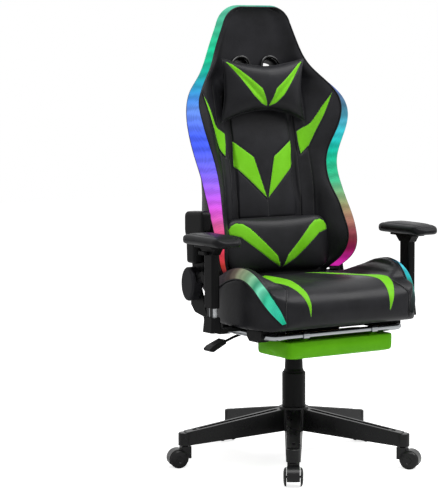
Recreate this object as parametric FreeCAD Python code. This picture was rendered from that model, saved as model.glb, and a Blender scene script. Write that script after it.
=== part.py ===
import FreeCAD, Part
import math
import os
from FreeCAD import Vector, Placement, Rotation

# Racing-style office chair with light strips, recliner and pull-out footrest.
# Millimetres. +Z is up, the sitter faces -Y, the sitter's left is +X.
# The origin lies on the floor on the axis of the gas lift.

# ---------------------------------------------------------------- driving dimensions
EPS = 0.3                  # clearance between soft parts and their neighbours
RUN = 0.05                 # radial running clearance of a pin or shaft

LEG_COUNT = 5
LEG_HEADING = -124.7       # compass of the first leg, degrees from +X
LEG_TIP_R = 325.0
LEG_ROOT_WIDTH = 50.0
LEG_TIP_WIDTH = 38.0
HUB_TOP = 150.0
HUB_BOTTOM = 88.0
HUB_R = 40.0
LEG_TIP_TOP = 96.0
LEG_TIP_BOTTOM = 60.0
LEG_WALL = 4.0

WHEEL_R = 25.0
WHEEL_THICK = 8.0
CASTOR_WIDTH = 52.0
CASTOR_TRAIL = 22.0
CASTOR_AXLE_R = 3.0
STEM_R = 5.5
HOOD_R = 26.5              # drum between the wheels
HOOD_LOW = 16.0
HOOD_TOP = 57.0

CYLINDER_R = 25.0
ROD_R = 14.0
COVER_LOW_R = 32.0
COVER_LOW_TOP = 245.0
COVER_UP_R = 27.5
COVER_UP_NECK_R = 23.5
COVER_UP_TOP = 289.0
COVER_WALL = 2.5
LIFT_DOWN = 10.0
LIFT_UP = 70.0

SOCKET_BOTTOM = 303.0
HOUSING_BOTTOM = 335.0
HOUSING_HALF = 38.0        # half-width of the mechanism housing
SHEET = 3.0                # pressed steel thickness
TILT_Y = -32.0
TILT_Z = 354.0
TILT_PIN_R = 6.0
PLATE_TOP = 372.0
PLATE_HALF_X = 75.0
PLATE_HALF_Y = 100.0

SEAT_BOTTOM = 397.0
SEAT_TOP = 506.0
SEAT_FRONT = -264.0
SEAT_REAR = 165.0
SEAT_HALF = 257.0
WING_TOP = 552.0
RAIL_X = 165.0             # centre line of a seat-frame rail
RAIL_SIZE = 25.0

PIVOT_Y = 128.0            # recliner axis, along X
PIVOT_Z = 489.0
PIVOT_PIN_R = 8.0
BARREL_R = 47.5            # rounded lower end of the back about the recliner axis
RECESS_R = 50.0
HINGE_ARM_X = 224.0        # inner face of a back arm
HINGE_ARM_THICK = 4.0
HINGE_PLATE_THICK = 5.0
OVAL_HALF_Y = 32.0
OVAL_HALF_Z = 46.0
COVER_RIGHT_X = 262.0      # outer face of the covers over the recliner gear
COVER_LEFT_X = 240.0

BACK_BOTTOM = 508.0
BACK_TOP = 1233.0
TOP_CORNER_R = 60.0
FOLD_X = 145.0             # where the flat front of the back turns up into a side wing
LED_THICK = 5.0
LED_GAP = 0.6

BAR_Z = 377.0              # footrest tube
BAR_R = 8.5
BAR_HALF = 210.0
BAR_FRONT = -209.0
BAR_REAR = 92.0
BAR_BEND_R = 28.0
FOOTPAD_HALF = 170.0
FOOTPAD_FRONT = -226.0
FOOTPAD_REAR = -68.0
FOOTPAD_TOP = 364.0
FOOTPAD_BOTTOM = 319.0
BOARD_THICK = 8.0

POST_X = 318.0
POST_Y = -90.0
POST_LONG = 32.0           # inner post, along Y
POST_WIDE = 16.0           # inner post, along X
POST_TOP = 580.0
BOOT_BOTTOM = 388.0
BOOT_TOP = 428.0
SLEEVE_BOTTOM = 452.0
SLEEVE_TOP = 608.0
SLEEVE_WALL = 4.0
ARMPAD_FRONT = -190.0
ARMPAD_REAR = 10.0
ARMPAD_HALF = 40.0
ARMPAD_TOP = 642.0

LEVER_Y = 5.0
LEVER_Z = 364.0
LEVER_R = 3.5
LEVER_PIN_X = -54.0
LEVER_PIN_R = 1.5

SLOT_INNER_X = 24.0        # harness slots of the back
SLOT_TOP_X = 60.0
SLOT_LOW_X = 78.0
SLOT_LOW_Z = 1004.0
SLOT_TOP_Z = 1094.0
SLOT_LINER = 3.0
SLOT_REAR = 238.5

# Height stations of the back: height, half-width, y of the outer rim, half-width and y of
# the rim's inner edge, y of the centre front, y of the centre rear, rear corner x and y.
BACK_STATIONS = [
    (508, 180, 64, 162, 84, 104, 186, 172, 135),
    (540, 211, 36, 189, 54, 112, 192, 196, 136),
    (580, 227, 22, 203, 34, 116, 196, 206, 137),
    (620, 231, 31, 202, 30, 119, 199, 207, 137),
    (660, 231, 49, 197, 44, 122, 201, 205, 141),
    (700, 228, 71, 191, 60, 124, 204, 199, 150),
    (740, 226, 93, 182, 82, 130, 208, 190, 161),
    (780, 226, 112, 179, 99, 137, 212, 183, 170),
    (820, 233, 124, 184, 109, 144, 216, 170, 176),
    (860, 246, 124, 198, 109, 151, 220, 160, 178),
    (900, 259, 119, 216, 103, 160, 225, 152, 180),
    (940, 265, 118, 229, 102, 169, 229, 149, 183),
    (980, 256, 129, 230, 110, 178, 232, 148, 190),
    (1010, 234, 147, 215, 120, 185, 233, 145, 197),
    (1040, 198, 172, 190, 138, 189, 234, 140, 205),
    (1070, 168, 194, 164, 156, 190, 234, 132, 212),
    (1110, 143, 210, 142, 171, 191, 234, 124, 219),
    (1150, 125, 215, 125, 176, 191, 234, 110, 223),
    (1190, 108, 217, 108, 178, 190, 233, 96, 225),
    (1233, 91, 218, 91, 179, 190, 231, 80, 226),
]

# Light strip of a seat wing, rear to front: inner edge, then outer edge.
SEAT_STRIP = [
    ((228, 90, 488), (229, 90, 477)),
    ((236, 64, 494), (241, 64, 472)),
    ((240, 6, 515), (250, 8, 484)),
    ((240, -53, 541), (255, -48, 509)),
    ((238, -105, 551), (258, -104, 524)),
    ((235, -150, 544), (257, -148, 522)),
    ((229, -190, 518), (253, -184, 503)),
    ((219, -224, 484), (244, -212, 472)),
    ((208, -246, 450), (230, -235, 443)),
    ((199, -257, 420), (209, -252, 417)),
]

PARTS = "parts"


# ---------------------------------------------------------------- helpers
def box(x0, x1, y0, y1, z0, z1):
    return Part.makeBox(x1 - x0, y1 - y0, z1 - z0, Vector(x0, y0, z0))


def bar(half_x, y0, y1, z0, z1):
    """A block centred on the mid plane."""
    return box(-half_x, half_x, y0, y1, z0, z1)


def rod(radius, start, end):
    """A round bar between two points."""
    a, b = Vector(*start), Vector(*end)
    return Part.makeCylinder(radius, (b - a).Length, a, b - a)


def rod_x(radius, x0, x1, y, z):
    return rod(radius, (x0, y, z), (x1, y, z))


def prism_x(points, x0, x1):
    """Outline of (y, z) points, extruded along X."""
    ring = [Vector(x0, y, z) for y, z in points]
    return Part.Face(Part.makePolygon(ring + ring[:1])).extrude(Vector(x1 - x0, 0, 0))


def prism_y(points, y0, y1):
    """Outline of (x, z) points, extruded along Y."""
    ring = [Vector(x, y0, z) for x, z in points]
    return Part.Face(Part.makePolygon(ring + ring[:1])).extrude(Vector(0, y1 - y0, 0))


def prism_z(points, z0, z1):
    """Outline of (x, y) points, extruded along Z."""
    ring = [Vector(x, y, z0) for x, y in points]
    return Part.Face(Part.makePolygon(ring + ring[:1])).extrude(Vector(0, 0, z1 - z0))


def curve(points):
    """A smooth edge through points."""
    spline = Part.BSplineCurve()
    spline.interpolate([Vector(*p) for p in points])
    return spline.toShape()


def line(a, b):
    return Part.makeLine(Vector(*a), Vector(*b))


def mirrored(points):
    """The points of one half, followed by the other half mirrored in x."""
    return points + [(-p[0],) + tuple(p[1:]) for p in reversed(points) if p[0] != 0]


def mirror_x(shape):
    return shape.mirror(Vector(0, 0, 0), Vector(1, 0, 0))


def both_sides(shape):
    """One solid on each side of the chair, kept apart."""
    return Part.Compound([shape, mirror_x(shape)])


def edges_along(shape, axis, keep):
    """Straight edges parallel to an axis (0, 1 or 2) whose middle point passes a test."""
    found = []
    for edge in shape.Edges:
        if edge.Curve.TypeId != "Part::GeomLine":
            continue
        a, b = edge.Vertexes[0].Point, edge.Vertexes[-1].Point
        side = [abs(b[i] - a[i]) for i in range(3)]
        if side[axis] > 1e-6 and sum(side) - side[axis] < 1e-6 and keep((a + b) * 0.5):
            found.append(edge)
    return found


def rounded(shape, radius, axis, keep=lambda mid: True):
    return shape.makeFillet(radius, edges_along(shape, axis, keep))


def plate_z(half_x, half_y, x, y, z0, z1, radius):
    """An upright block on (x, y) with rounded upright edges."""
    return rounded(box(x - half_x, x + half_x, y - half_y, y + half_y, z0, z1), radius, 2)


def fused(shapes):
    return shapes[0].multiFuse(shapes[1:]).removeSplitter()


def bent_rod(points, radius, bend):
    """A round bar along straight runs joined by tangent arcs."""
    pts = [Vector(*p) for p in points]
    edges, last = [], pts[0]
    for before, corner, after in zip(pts, pts[1:], pts[2:]):
        into, out = (corner - before).normalize(), (after - corner).normalize()
        turn = into.getAngle(out)
        back = bend * math.tan(turn / 2)
        start, end = corner - into * back, corner + out * back
        inward = (out - into).normalize()
        middle = corner + inward * (bend / math.cos(turn / 2) - bend)
        edges += [Part.LineSegment(last, start).toShape(), Part.Arc(start, middle, end).toShape()]
        last = end
    edges.append(Part.LineSegment(last, pts[-1]).toShape())
    section = Part.Wire([Part.makeCircle(radius, pts[0], pts[1] - pts[0])])
    return Part.Wire(edges).makePipeShell([section], True, True)


def place(shape, x, y, heading):
    """Turn a shape about Z and move it over the floor."""
    out = shape.copy()
    out.Placement = Placement(Vector(x, y, 0), Rotation(Vector(0, 0, 1), heading)) * out.Placement
    return out


def save(name, shape):
    if shape.ShapeType == "Compound" and len(shape.Solids) == 1:
        shape = shape.Solids[0]
    shape.exportStep(os.path.join(PARTS, name + ".step"))
    print(f"{name:22s} solids {len(shape.Solids):2d}  valid {shape.isValid()}  {shape.Volume / 1000:9.1f} cm3")


# ---------------------------------------------------------------- base and castors
STEM_AT = LEG_TIP_R - LEG_TIP_WIDTH / 2


def leg_section(r, width, low, high, inset):
    """Closed trapezoid across a leg that lies along +X, narrower at its top."""
    half, top = width / 2, width / 2 - inset
    ring = [Vector(r, -half, low), Vector(r, half, low), Vector(r, top, high), Vector(r, -top, high)]
    return Part.makePolygon(ring + ring[:1])


def star_leg():
    """One hollow leg along +X, open below, with ribs and the socket of the castor stem."""
    end_low, end_top = LEG_TIP_BOTTOM, LEG_TIP_TOP
    outer = Part.makeLoft([leg_section(20, LEG_ROOT_WIDTH, HUB_BOTTOM, HUB_TOP - 2, 5),
                           leg_section(STEM_AT, LEG_TIP_WIDTH, end_low, end_top, 2)], True, True)
    toe = Part.makeCylinder(LEG_TIP_WIDTH / 2, end_top - end_low - 2, Vector(STEM_AT, 0, end_low))
    leg = outer.fuse(toe.makeFillet(3, [e for e in toe.Edges if abs(e.CenterOfMass.z - toe.BoundBox.ZMax) < 0.1]))
    inner = Part.makeLoft(
        [leg_section(HUB_R + 2, LEG_ROOT_WIDTH - 2 * LEG_WALL - 2, HUB_BOTTOM - 9, HUB_TOP - 9, 5),
         leg_section(STEM_AT - 22, LEG_TIP_WIDTH - 2 * LEG_WALL, end_low - 9, end_top - 6, 2)], True, True)
    for rib_at in (110, 170, 230):
        inner = inner.cut(box(rib_at - 1.5, rib_at + 1.5, -30, 30, end_low - 20, HUB_TOP))
    leg = leg.cut(inner)
    slope = (HUB_TOP - 2 - end_top) / (STEM_AT - 20)

    def skin(r):
        return HUB_TOP - 2 - slope * (r - 20)

    floor = prism_y([(46, skin(46) - 3), (300, skin(300) - 3), (300, skin(300) + 12), (46, skin(46) + 12)], -9, 9)
    groove = floor.common(plate_z(120, 8.5, 167, 0, 50, 200, 8))
    leg = leg.cut(groove)
    boss = Part.makeCylinder(4.5, 5, Vector(272, 0, skin(272) - 5))
    socket = Part.makeCylinder(STEM_R + RUN, 34, Vector(STEM_AT, 0, end_low - 1))
    return leg.fuse(boss).cut(socket)


def leg_headings():
    return [LEG_HEADING + i * 360 / LEG_COUNT for i in range(LEG_COUNT)]


def star_base():
    leg = star_leg()
    hub = Part.makeCone(HUB_R + 2, HUB_R, HUB_TOP - HUB_BOTTOM, Vector(0, 0, HUB_BOTTOM))
    base = fused([hub] + [place(leg, 0, 0, a) for a in leg_headings()])
    bore = Part.makeCylinder(CYLINDER_R + RUN, 80, Vector(0, 0, HUB_BOTTOM + 4))
    drain = Part.makeCylinder(CYLINDER_R - 6, 20, Vector(0, 0, HUB_BOTTOM - 5))
    return base.cut(bore).cut(drain)


def castor_hood():
    """Hood of a castor whose stem is on Z and whose wheels trail towards +X."""
    body_half = CASTOR_WIDTH / 2 - WHEEL_THICK - 1
    axle_at = Vector(CASTOR_TRAIL, 0, WHEEL_R)
    drum = Part.makeCylinder(HOOD_R, 2 * body_half, axle_at - Vector(0, body_half, 0), Vector(0, 1, 0))
    drum = drum.cut(box(CASTOR_TRAIL - 40, CASTOR_TRAIL + 40, -40, 40, -10, HOOD_LOW))
    neck = plate_z(14, body_half - 1, 0, 0, WHEEL_R, HOOD_TOP, 5)
    hood = fused([drum, neck])
    return hood.cut(Part.makeCylinder(CASTOR_AXLE_R + RUN, CASTOR_WIDTH,
                                      axle_at - Vector(0, CASTOR_WIDTH / 2, 0), Vector(0, 1, 0)))


def castor_stem():
    stem = Part.makeCylinder(STEM_R, 34, Vector(0, 0, HOOD_TOP))
    collar = Part.makeCylinder(8, 3, Vector(0, 0, HOOD_TOP))
    return stem.makeChamfer(1.5, [stem.Edges[0]]).fuse(collar).removeSplitter()


def castor_wheels():
    """Two dished wheels on one axle."""
    half = CASTOR_WIDTH / 2
    profile = [(0, half - 1.2), (8, half - 1.2), (9.5, half), (15, half - 0.4), (20.5, half - 1.8),
               (23.5, half - 4), (WHEEL_R, half - 7), (WHEEL_R, half - WHEEL_THICK), (0, half - WHEEL_THICK)]
    ring = [Vector(r, t, 0) for r, t in profile]
    wheel = Part.Face(Part.makePolygon(ring + ring[:1])).revolve(Vector(0, 0, 0), Vector(0, 1, 0), 360)
    axle = Part.makeCylinder(CASTOR_AXLE_R, CASTOR_WIDTH - 8, Vector(0, 4 - half, 0), Vector(0, 1, 0))
    pair = fused([wheel, wheel.mirror(Vector(0, 0, 0), Vector(0, 1, 0)), axle])
    return pair.translated(Vector(CASTOR_TRAIL, 0, WHEEL_R))


def castor_turn(index):
    """Heading of a castor's trail: straight out along its leg."""
    return leg_headings()[index]


def save_castors():
    hood, stem, wheels = castor_hood(), castor_stem(), castor_wheels()
    for i, heading in enumerate(leg_headings()):
        angle = math.radians(heading)
        x, y = STEM_AT * math.cos(angle), STEM_AT * math.sin(angle)
        turned = castor_turn(i)
        save(f"castor_{i + 1}_hood", place(hood.fuse(stem).removeSplitter(), x, y, turned))
        save(f"castor_{i + 1}_wheels", place(wheels, x, y, turned))


# ---------------------------------------------------------------- column
def shell_of_revolution(profile):
    ring = [Vector(r, 0, z) for r, z in profile]
    return Part.Face(Part.makePolygon(ring + ring[:1])).revolve(Vector(0, 0, 0), Vector(0, 0, 1), 360)


def gas_cylinder():
    tube = Part.makeCylinder(CYLINDER_R, 60, Vector(0, 0, HUB_BOTTOM + 4))
    body = Part.makeCylinder(ROD_R + 4, COVER_LOW_TOP - HUB_BOTTOM - 24, Vector(0, 0, HUB_BOTTOM + 4))
    hollow = Part.makeCylinder(ROD_R + RUN, 400, Vector(0, 0, HUB_BOTTOM + 12))
    return tube.fuse(body).cut(hollow).removeSplitter()


def cover_lower():
    r, w = COVER_LOW_R, COVER_WALL
    return shell_of_revolution([(r, HUB_TOP), (r, COVER_LOW_TOP - 3), (r - 1.5, COVER_LOW_TOP),
                                (r - w, COVER_LOW_TOP), (r - w, HUB_TOP)])


def cover_upper():
    """Upper sleeve; it nests in the lower one and rises at half the travel."""
    r, neck, w = COVER_UP_R, COVER_UP_NECK_R, COVER_WALL
    low = COVER_LOW_TOP - 68
    return shell_of_revolution([(r, low), (r, COVER_LOW_TOP + 3), (neck + 1.5, COVER_LOW_TOP + 9),
                                (neck, COVER_UP_TOP - 1), (neck - 1, COVER_UP_TOP), (ROD_R + 1, COVER_UP_TOP),
                                (ROD_R + 1, COVER_UP_TOP - 3), (neck - w, COVER_UP_TOP - 3),
                                (neck - w, COVER_LOW_TOP + 6), (r - w, COVER_LOW_TOP + 1), (r - w, low)])


def piston_rod():
    bottom = HUB_BOTTOM + 12 + LIFT_DOWN + 4
    shaft = Part.makeCylinder(ROD_R, SOCKET_BOTTOM - 4 - bottom, Vector(0, 0, bottom))
    taper = Part.makeCone(ROD_R, ROD_R - 1.5, 344 - SOCKET_BOTTOM + 4, Vector(0, 0, SOCKET_BOTTOM - 4))
    return shaft.fuse(taper).removeSplitter()


# ---------------------------------------------------------------- mechanism
def mechanism_housing():
    """Pressed channel with the tapered socket that sits on the rod."""
    front, rear = TILT_Y - 14, 62
    lip_front, lip_rear = TILT_Z + 9, HOUSING_BOTTOM + 9
    wall = [(front, HOUSING_BOTTOM), (rear, HOUSING_BOTTOM), (rear, lip_rear), (28, lip_rear + 5),
            (18, lip_rear), (-8, lip_rear), (-18, lip_rear + 12), (TILT_Y + 12, lip_front), (front, lip_front)]
    sides = [prism_x(wall, HOUSING_HALF - SHEET, HOUSING_HALF), prism_x(wall, -HOUSING_HALF, SHEET - HOUSING_HALF)]
    floor = bar(HOUSING_HALF, front, rear, HOUSING_BOTTOM, HOUSING_BOTTOM + SHEET)
    socket = Part.makeCone(ROD_R + 5, ROD_R + 10, HOUSING_BOTTOM + SHEET - SOCKET_BOTTOM, Vector(0, 0, SOCKET_BOTTOM))
    skirt = Part.makeCone(ROD_R + 10, ROD_R + 20, 8, Vector(0, 0, HOUSING_BOTTOM - 8))
    housing = fused(sides + [floor, socket, skirt])
    taper = Part.makeCone(ROD_R + RUN, ROD_R - 1.5 + RUN, 344 - SOCKET_BOTTOM + 4, Vector(0, 0, SOCKET_BOTTOM - 4))
    return housing.cut(taper).cut(rod_x(TILT_PIN_R, -60, 60, TILT_Y, TILT_Z))


def tilt_pin():
    reach = HOUSING_HALF + 2 + SHEET + 6
    pin = rod_x(TILT_PIN_R, -reach, reach, TILT_Y, TILT_Z)
    return pin.makeChamfer(1, [e for e in pin.Edges if e.Curve.TypeId == "Part::GeomCircle"])


def mechanism_plate():
    """Seat plate with two flanges that hang over the housing and turn on the pin."""
    z0, z1 = PLATE_TOP - SHEET, PLATE_TOP
    top = plate_z(PLATE_HALF_X, PLATE_HALF_Y, 0, -15, z0, z1, 12)
    inner = HOUSING_HALF + 2
    flange = [(TILT_Y - 13, TILT_Z - 8), (TILT_Y - 6, TILT_Z - 13), (TILT_Y + 8, TILT_Z - 13), (55, z0 - 12),
              (62, z0), (TILT_Y - 16, z0)]
    flanges = [prism_x(flange, inner, inner + SHEET), prism_x(flange, -inner - SHEET, -inner)]
    plate = fused([top] + flanges)
    plate = plate.cut(rod_x(TILT_PIN_R + RUN, -60, 60, TILT_Y, TILT_Z))
    for x in (-58, 58):
        for y in (-95, 65):
            plate = plate.cut(Part.makeCylinder(4.2, 20, Vector(x, y, z0 - 8)))
    ears = [box(-62, -inner - 1, LEVER_Y + y, LEVER_Y + y + 2, LEVER_Z - 5, z0 + 1) for y in (-6.5, 4.5)]
    plate = fused([plate] + ears).cut(rod_x(LEVER_R + 1.5, -60, 0, LEVER_Y, LEVER_Z))
    return plate.cut(lever_pin(LEVER_PIN_R + RUN))


def tilt_spring():
    """Coil round the tilt pin between the housing walls; it holds the seat up against the stop."""
    wire, turns, steps = 2.2, 6, 10
    length = 2 * (HOUSING_HALF - SHEET) - 2 * wire - 4
    radius = TILT_PIN_R + wire + 0.8
    sections = []
    for i in range(turns * steps + 1):
        angle = 2 * math.pi * i / steps
        out = Vector(0, math.cos(angle), math.sin(angle))
        centre = Vector(length * (i / (turns * steps) - 0.5), TILT_Y, TILT_Z) + out * radius
        across = Vector(1, 0, 0) * wire
        ring = [centre + out * wire, centre + across, centre - out * wire, centre - across]
        sections.append(Part.makePolygon(ring + ring[:1]))
    return Part.makeLoft(sections, True, True)


def lever_pin(radius):
    """Cross pin on which the lift lever rocks, between two ears of the seat plate."""
    return rod(radius, (LEVER_PIN_X, LEVER_Y - 7.5, LEVER_Z), (LEVER_PIN_X, LEVER_Y + 7.5, LEVER_Z))


def lift_lever_rod():
    """Bent rod from over the rod's valve, out below the seat side."""
    path = [(-8, LEVER_Y, LEVER_Z), (-150, LEVER_Y, LEVER_Z), (-192, LEVER_Y - 3, LEVER_Z - 9),
            (-236, LEVER_Y - 5, LEVER_Z - 24)]
    return fused([bent_rod(path, LEVER_R, 22), lever_pin(LEVER_PIN_R)])


def lift_lever_paddle():
    """Flat moulded grip pushed on the rod's end."""
    ring = [(-228, 342), (-268, 322), (-278, 324), (-280, 330), (-270, 338), (-230, 354)]
    blade = rounded(prism_y(ring, LEVER_Y - 22, LEVER_Y + 10), 2.5, 1)
    return blade.cut(lift_lever_rod())


# ---------------------------------------------------------------- seat
def seat_frame():
    """Two rails and two cross tubes below the seat pan."""
    top, low = SEAT_BOTTOM - EPS, SEAT_BOTTOM - EPS - RAIL_SIZE + 1
    half = RAIL_SIZE / 2
    rail = box(RAIL_X - half, RAIL_X + half, -185, 150, low, top)
    cross = [bar(RAIL_X, y - half, y + half, PLATE_TOP, top) for y in (-95, 65)]
    bolts = [Part.makeCylinder(4, PLATE_TOP - 366, Vector(x, y, 366)) for x in (-58, 58) for y in (-95, 65)]
    return fused([rail, mirror_x(rail)] + cross + bolts)


def seat_plan(inset=0.0):
    """Outline of the seat from above, as a face at z = 0."""
    half = [(0, SEAT_FRONT + inset), (120, SEAT_FRONT + 1 + inset), (176, SEAT_FRONT + 6 + inset),
            (212 - inset, -248 + inset), (237 - inset, -225), (SEAT_HALF - 7 - inset, -190),
            (SEAT_HALF - 1 - inset, -145), (SEAT_HALF - inset, -95), (SEAT_HALF - 4 - inset, -40), (240 - inset, 15), (224 - inset, 70),
            (214 - inset, 115), (206 - inset, SEAT_REAR - inset)]
    other = [(-x, y) for x, y in reversed(half[1:])]
    front = curve([(x, y, 0) for x, y in other + half])
    rear = line((half[-1][0], half[-1][1], 0), (-half[-1][0], half[-1][1], 0))
    return Part.Face(Part.Wire([front, rear]))


def seat_block():
    """Middle of the seat: flat top, bulging front, hollow rear edge under the back."""
    nose = curve([(0, -236, SEAT_BOTTOM), (0, SEAT_FRONT + 4, 420), (0, SEAT_FRONT, 446), (0, -254, 474),
                  (0, -230, 496), (0, -190, SEAT_TOP + 3), (0, -120, SEAT_TOP + 4), (0, 0, SEAT_TOP),
                  (0, PIVOT_Y, SEAT_TOP - 2)])
    wire = Part.Wire([nose, line((0, PIVOT_Y, SEAT_TOP - 2), (0, SEAT_REAR, 452)),
                      line((0, SEAT_REAR, 452), (0, SEAT_REAR, SEAT_BOTTOM)),
                      line((0, SEAT_REAR, SEAT_BOTTOM), (0, -236, SEAT_BOTTOM))])
    return Part.Face(wire).extrude(Vector(2 * SEAT_HALF, 0, 0)).translated(Vector(-SEAT_HALF, 0, 0))


def seat_wings():
    """Side bolsters that rise over the seat, with a sloped hollow between them."""
    crest = curve([(0, -250, 410), (0, -248, 436), (0, -232, 468), (0, -205, 504), (0, -175, 532),
                   (0, -140, 548), (0, -105, WING_TOP), (0, -60, 545), (0, 0, 518), (0, 50, 500), (0, 90, 488)])
    wire = Part.Wire([crest, line((0, 90, 488), (0, 90, 410)), line((0, 90, 410), (0, -250, 410))])
    slab = Part.Face(wire).extrude(Vector(2 * SEAT_HALF, 0, 0)).translated(Vector(-SEAT_HALF, 0, 0))
    trough = prism_y([(-168, 380), (168, 380), (168, SEAT_TOP), (212, 534), (231, 570), (-231, 570), (-212, 534),
                      (-168, SEAT_TOP)], -300, 200)
    return slab.cut(trough)


def strip_quads(offset_in, offset_out):
    """Closed sections along the seat strip, between two offsets from its face."""
    wires = []
    for inner, outer in SEAT_STRIP:
        a, b = Vector(*inner), Vector(*outer)
        across = (b - a).normalize()
        i = SEAT_STRIP.index((inner, outer))
        before, after = SEAT_STRIP[max(i - 1, 0)][0], SEAT_STRIP[min(i + 1, len(SEAT_STRIP) - 1)][0]
        along = (Vector(*after) - Vector(*before)).normalize()
        normal = along.cross(across)
        if normal.x < 0:
            normal = normal * -1
        normal.normalize()
        ring = [a + normal * offset_in, b + normal * offset_in, b + normal * offset_out, a + normal * offset_out]
        wires.append(Part.makePolygon(ring + ring[:1]))
    return wires


def seat_led():
    return Part.makeLoft(strip_quads(0.0, LED_THICK), True, True)


def seat_cushion():
    prism = seat_plan().extrude(Vector(0, 0, 700))
    seat = seat_block().common(prism).fuse(seat_wings().common(prism)).removeSplitter()
    recess = rod_x(RECESS_R, -SEAT_HALF - 5, SEAT_HALF + 5, PIVOT_Y, PIVOT_Z)
    pan_room = bar(RAIL_X + 10, -190, 140, SEAT_BOTTOM - 5, SEAT_BOTTOM + 10)
    shave = Part.makeLoft(strip_quads(-EPS, 40.0), True, True)
    return seat.cut(recess).cut(pan_room).cut(shave).cut(mirror_x(shave))


def seat_pan():
    return rounded(bar(RAIL_X + 9, -189, 139, SEAT_BOTTOM, SEAT_BOTTOM + 9.5), 14, 2)


# ---------------------------------------------------------------- footrest
def footrest_frame():
    path = [(BAR_HALF, BAR_REAR, BAR_Z), (BAR_HALF, BAR_FRONT, BAR_Z), (-BAR_HALF, BAR_FRONT, BAR_Z),
            (-BAR_HALF, BAR_REAR, BAR_Z)]
    tube = bent_rod(path, BAR_R, BAR_BEND_R)
    mouth = rod(BAR_R - 2, (BAR_HALF, BAR_REAR - 60, BAR_Z), (BAR_HALF, BAR_REAR + 1, BAR_Z))
    return tube.cut(mouth).cut(mirror_x(mouth))


def footrest_guides():
    """Plastic blocks on the rails; the tube slides in their bores."""
    wide = 16.0
    blocks = []
    for y0, y1, low in ((-180, -112, 362), (4, 64, 362)):
        outline = [(y0, 392), (y0, 374), (y0 + 12, low), (y1 - 12, low), (y1, 374), (y1, 392)]
        block = rounded(prism_x(outline, BAR_HALF - wide, BAR_HALF + wide), 6, 0, lambda mid: mid.z < 380)
        foot = box(RAIL_X + RAIL_SIZE / 2, BAR_HALF - wide, y0 + 5, y1 - 5, 384, 392)
        bore = rod(BAR_R + RUN, (BAR_HALF, y0 - 5, BAR_Z), (BAR_HALF, y1 + 5, BAR_Z))
        blocks.append(block.fuse(foot).cut(bore).removeSplitter())
    return Part.Compound(blocks + [mirror_x(b) for b in blocks])


def footrest_board():
    """Board under the tubes with two clips that turn on the front bar."""
    top = FOOTPAD_TOP
    board = bar(FOOTPAD_HALF - 14, FOOTPAD_FRONT + 12, FOOTPAD_REAR - 14, top - BOARD_THICK, top)
    clips = []
    for x in (-110, 110):
        ring = rod_x(BAR_R + 3.5, x - 9, x + 9, BAR_FRONT, BAR_Z)
        foot = box(x - 9, x + 9, BAR_FRONT - 1, BAR_FRONT + 26, top - 1, top + 2.5)
        clips += [ring, foot]
    return fused([board] + clips).cut(rod_x(BAR_R + RUN, -200, 200, BAR_FRONT, BAR_Z))


def footrest_pad():
    y0, y1 = FOOTPAD_FRONT, FOOTPAD_REAR
    pad = bar(FOOTPAD_HALF, y0, y1, FOOTPAD_BOTTOM, FOOTPAD_TOP)
    pad = rounded(pad, 16, 2)
    pad = pad.makeFillet(7, [e for e in pad.Edges if abs(e.CenterOfMass.z - FOOTPAD_BOTTOM) < 0.1])
    return pad.cut(bar(FOOTPAD_HALF - 14, y0 + 12, y1 - 14, FOOTPAD_TOP - BOARD_THICK, FOOTPAD_TOP + 5))


# ---------------------------------------------------------------- armrests, sitter's left
def arm_bracket():
    """Flat steel strap from the seat rail out to the post."""
    z0 = 387.0
    strap = box(RAIL_X + RAIL_SIZE / 2, POST_X - POST_WIDE / 2 - 4, POST_Y - 15, POST_Y + 15, z0, z0 + 9)
    return strap


def arm_boot():
    low = [Vector(POST_X + sx * 16, POST_Y + sy * 25, BOOT_BOTTOM) for sx, sy in ((-1, -1), (1, -1), (1, 1), (-1, 1))]
    high = [Vector(POST_X + sx * 13, POST_Y + sy * 22, BOOT_TOP) for sx, sy in ((-1, -1), (1, -1), (1, 1), (-1, 1))]
    boot = Part.makeLoft([Part.makePolygon(ring + ring[:1]) for ring in (low, high)], True, True)
    upright = [e for e in boot.Edges if abs(e.Vertexes[0].Z - e.Vertexes[-1].Z) > 10]
    boot = boot.makeFillet(6, upright)
    return boot.cut(post_bar(0.0)).cut(arm_bracket())


def post_bar(grow):
    return plate_z(POST_WIDE / 2 + grow, POST_LONG / 2 + grow, POST_X, POST_Y, BOOT_BOTTOM + 4, POST_TOP, 5 + grow)


def arm_sleeve():
    """Outer sleeve that rides on the post, with the flared head under the pad."""
    half_x, half_y = POST_WIDE / 2 + SLEEVE_WALL, POST_LONG / 2 + 6
    sleeve = plate_z(half_x, half_y, POST_X, POST_Y, SLEEVE_BOTTOM, SLEEVE_TOP, 7)
    side = [(POST_Y - half_y, SLEEVE_TOP - 18), (POST_Y - 36, SLEEVE_TOP), (POST_Y - 36, SLEEVE_TOP + 8),
            (POST_Y + 40, SLEEVE_TOP + 8), (POST_Y + 40, SLEEVE_TOP), (POST_Y + half_y, SLEEVE_TOP - 18)]
    head = prism_x(side, POST_X - half_x, POST_X + half_x)
    table = plate_z(26, 52, POST_X, POST_Y + 1, SLEEVE_TOP, SLEEVE_TOP + 8, 14)
    body = fused([sleeve, head, table])
    room = plate_z(POST_WIDE / 2 + EPS, POST_LONG / 2 + EPS, POST_X, POST_Y, SLEEVE_BOTTOM - 1, SLEEVE_TOP - 6, 5)
    seat_of_button = rod((5.2), (POST_X + half_x - 9, POST_Y, 594), (POST_X + half_x + 9, POST_Y, 594))
    return body.cut(room.cut(box(POST_X - 99, POST_X + 99, POST_Y - 99, POST_Y + 99, SLEEVE_TOP - 6, 700))) \
        .cut(seat_of_button)


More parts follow.
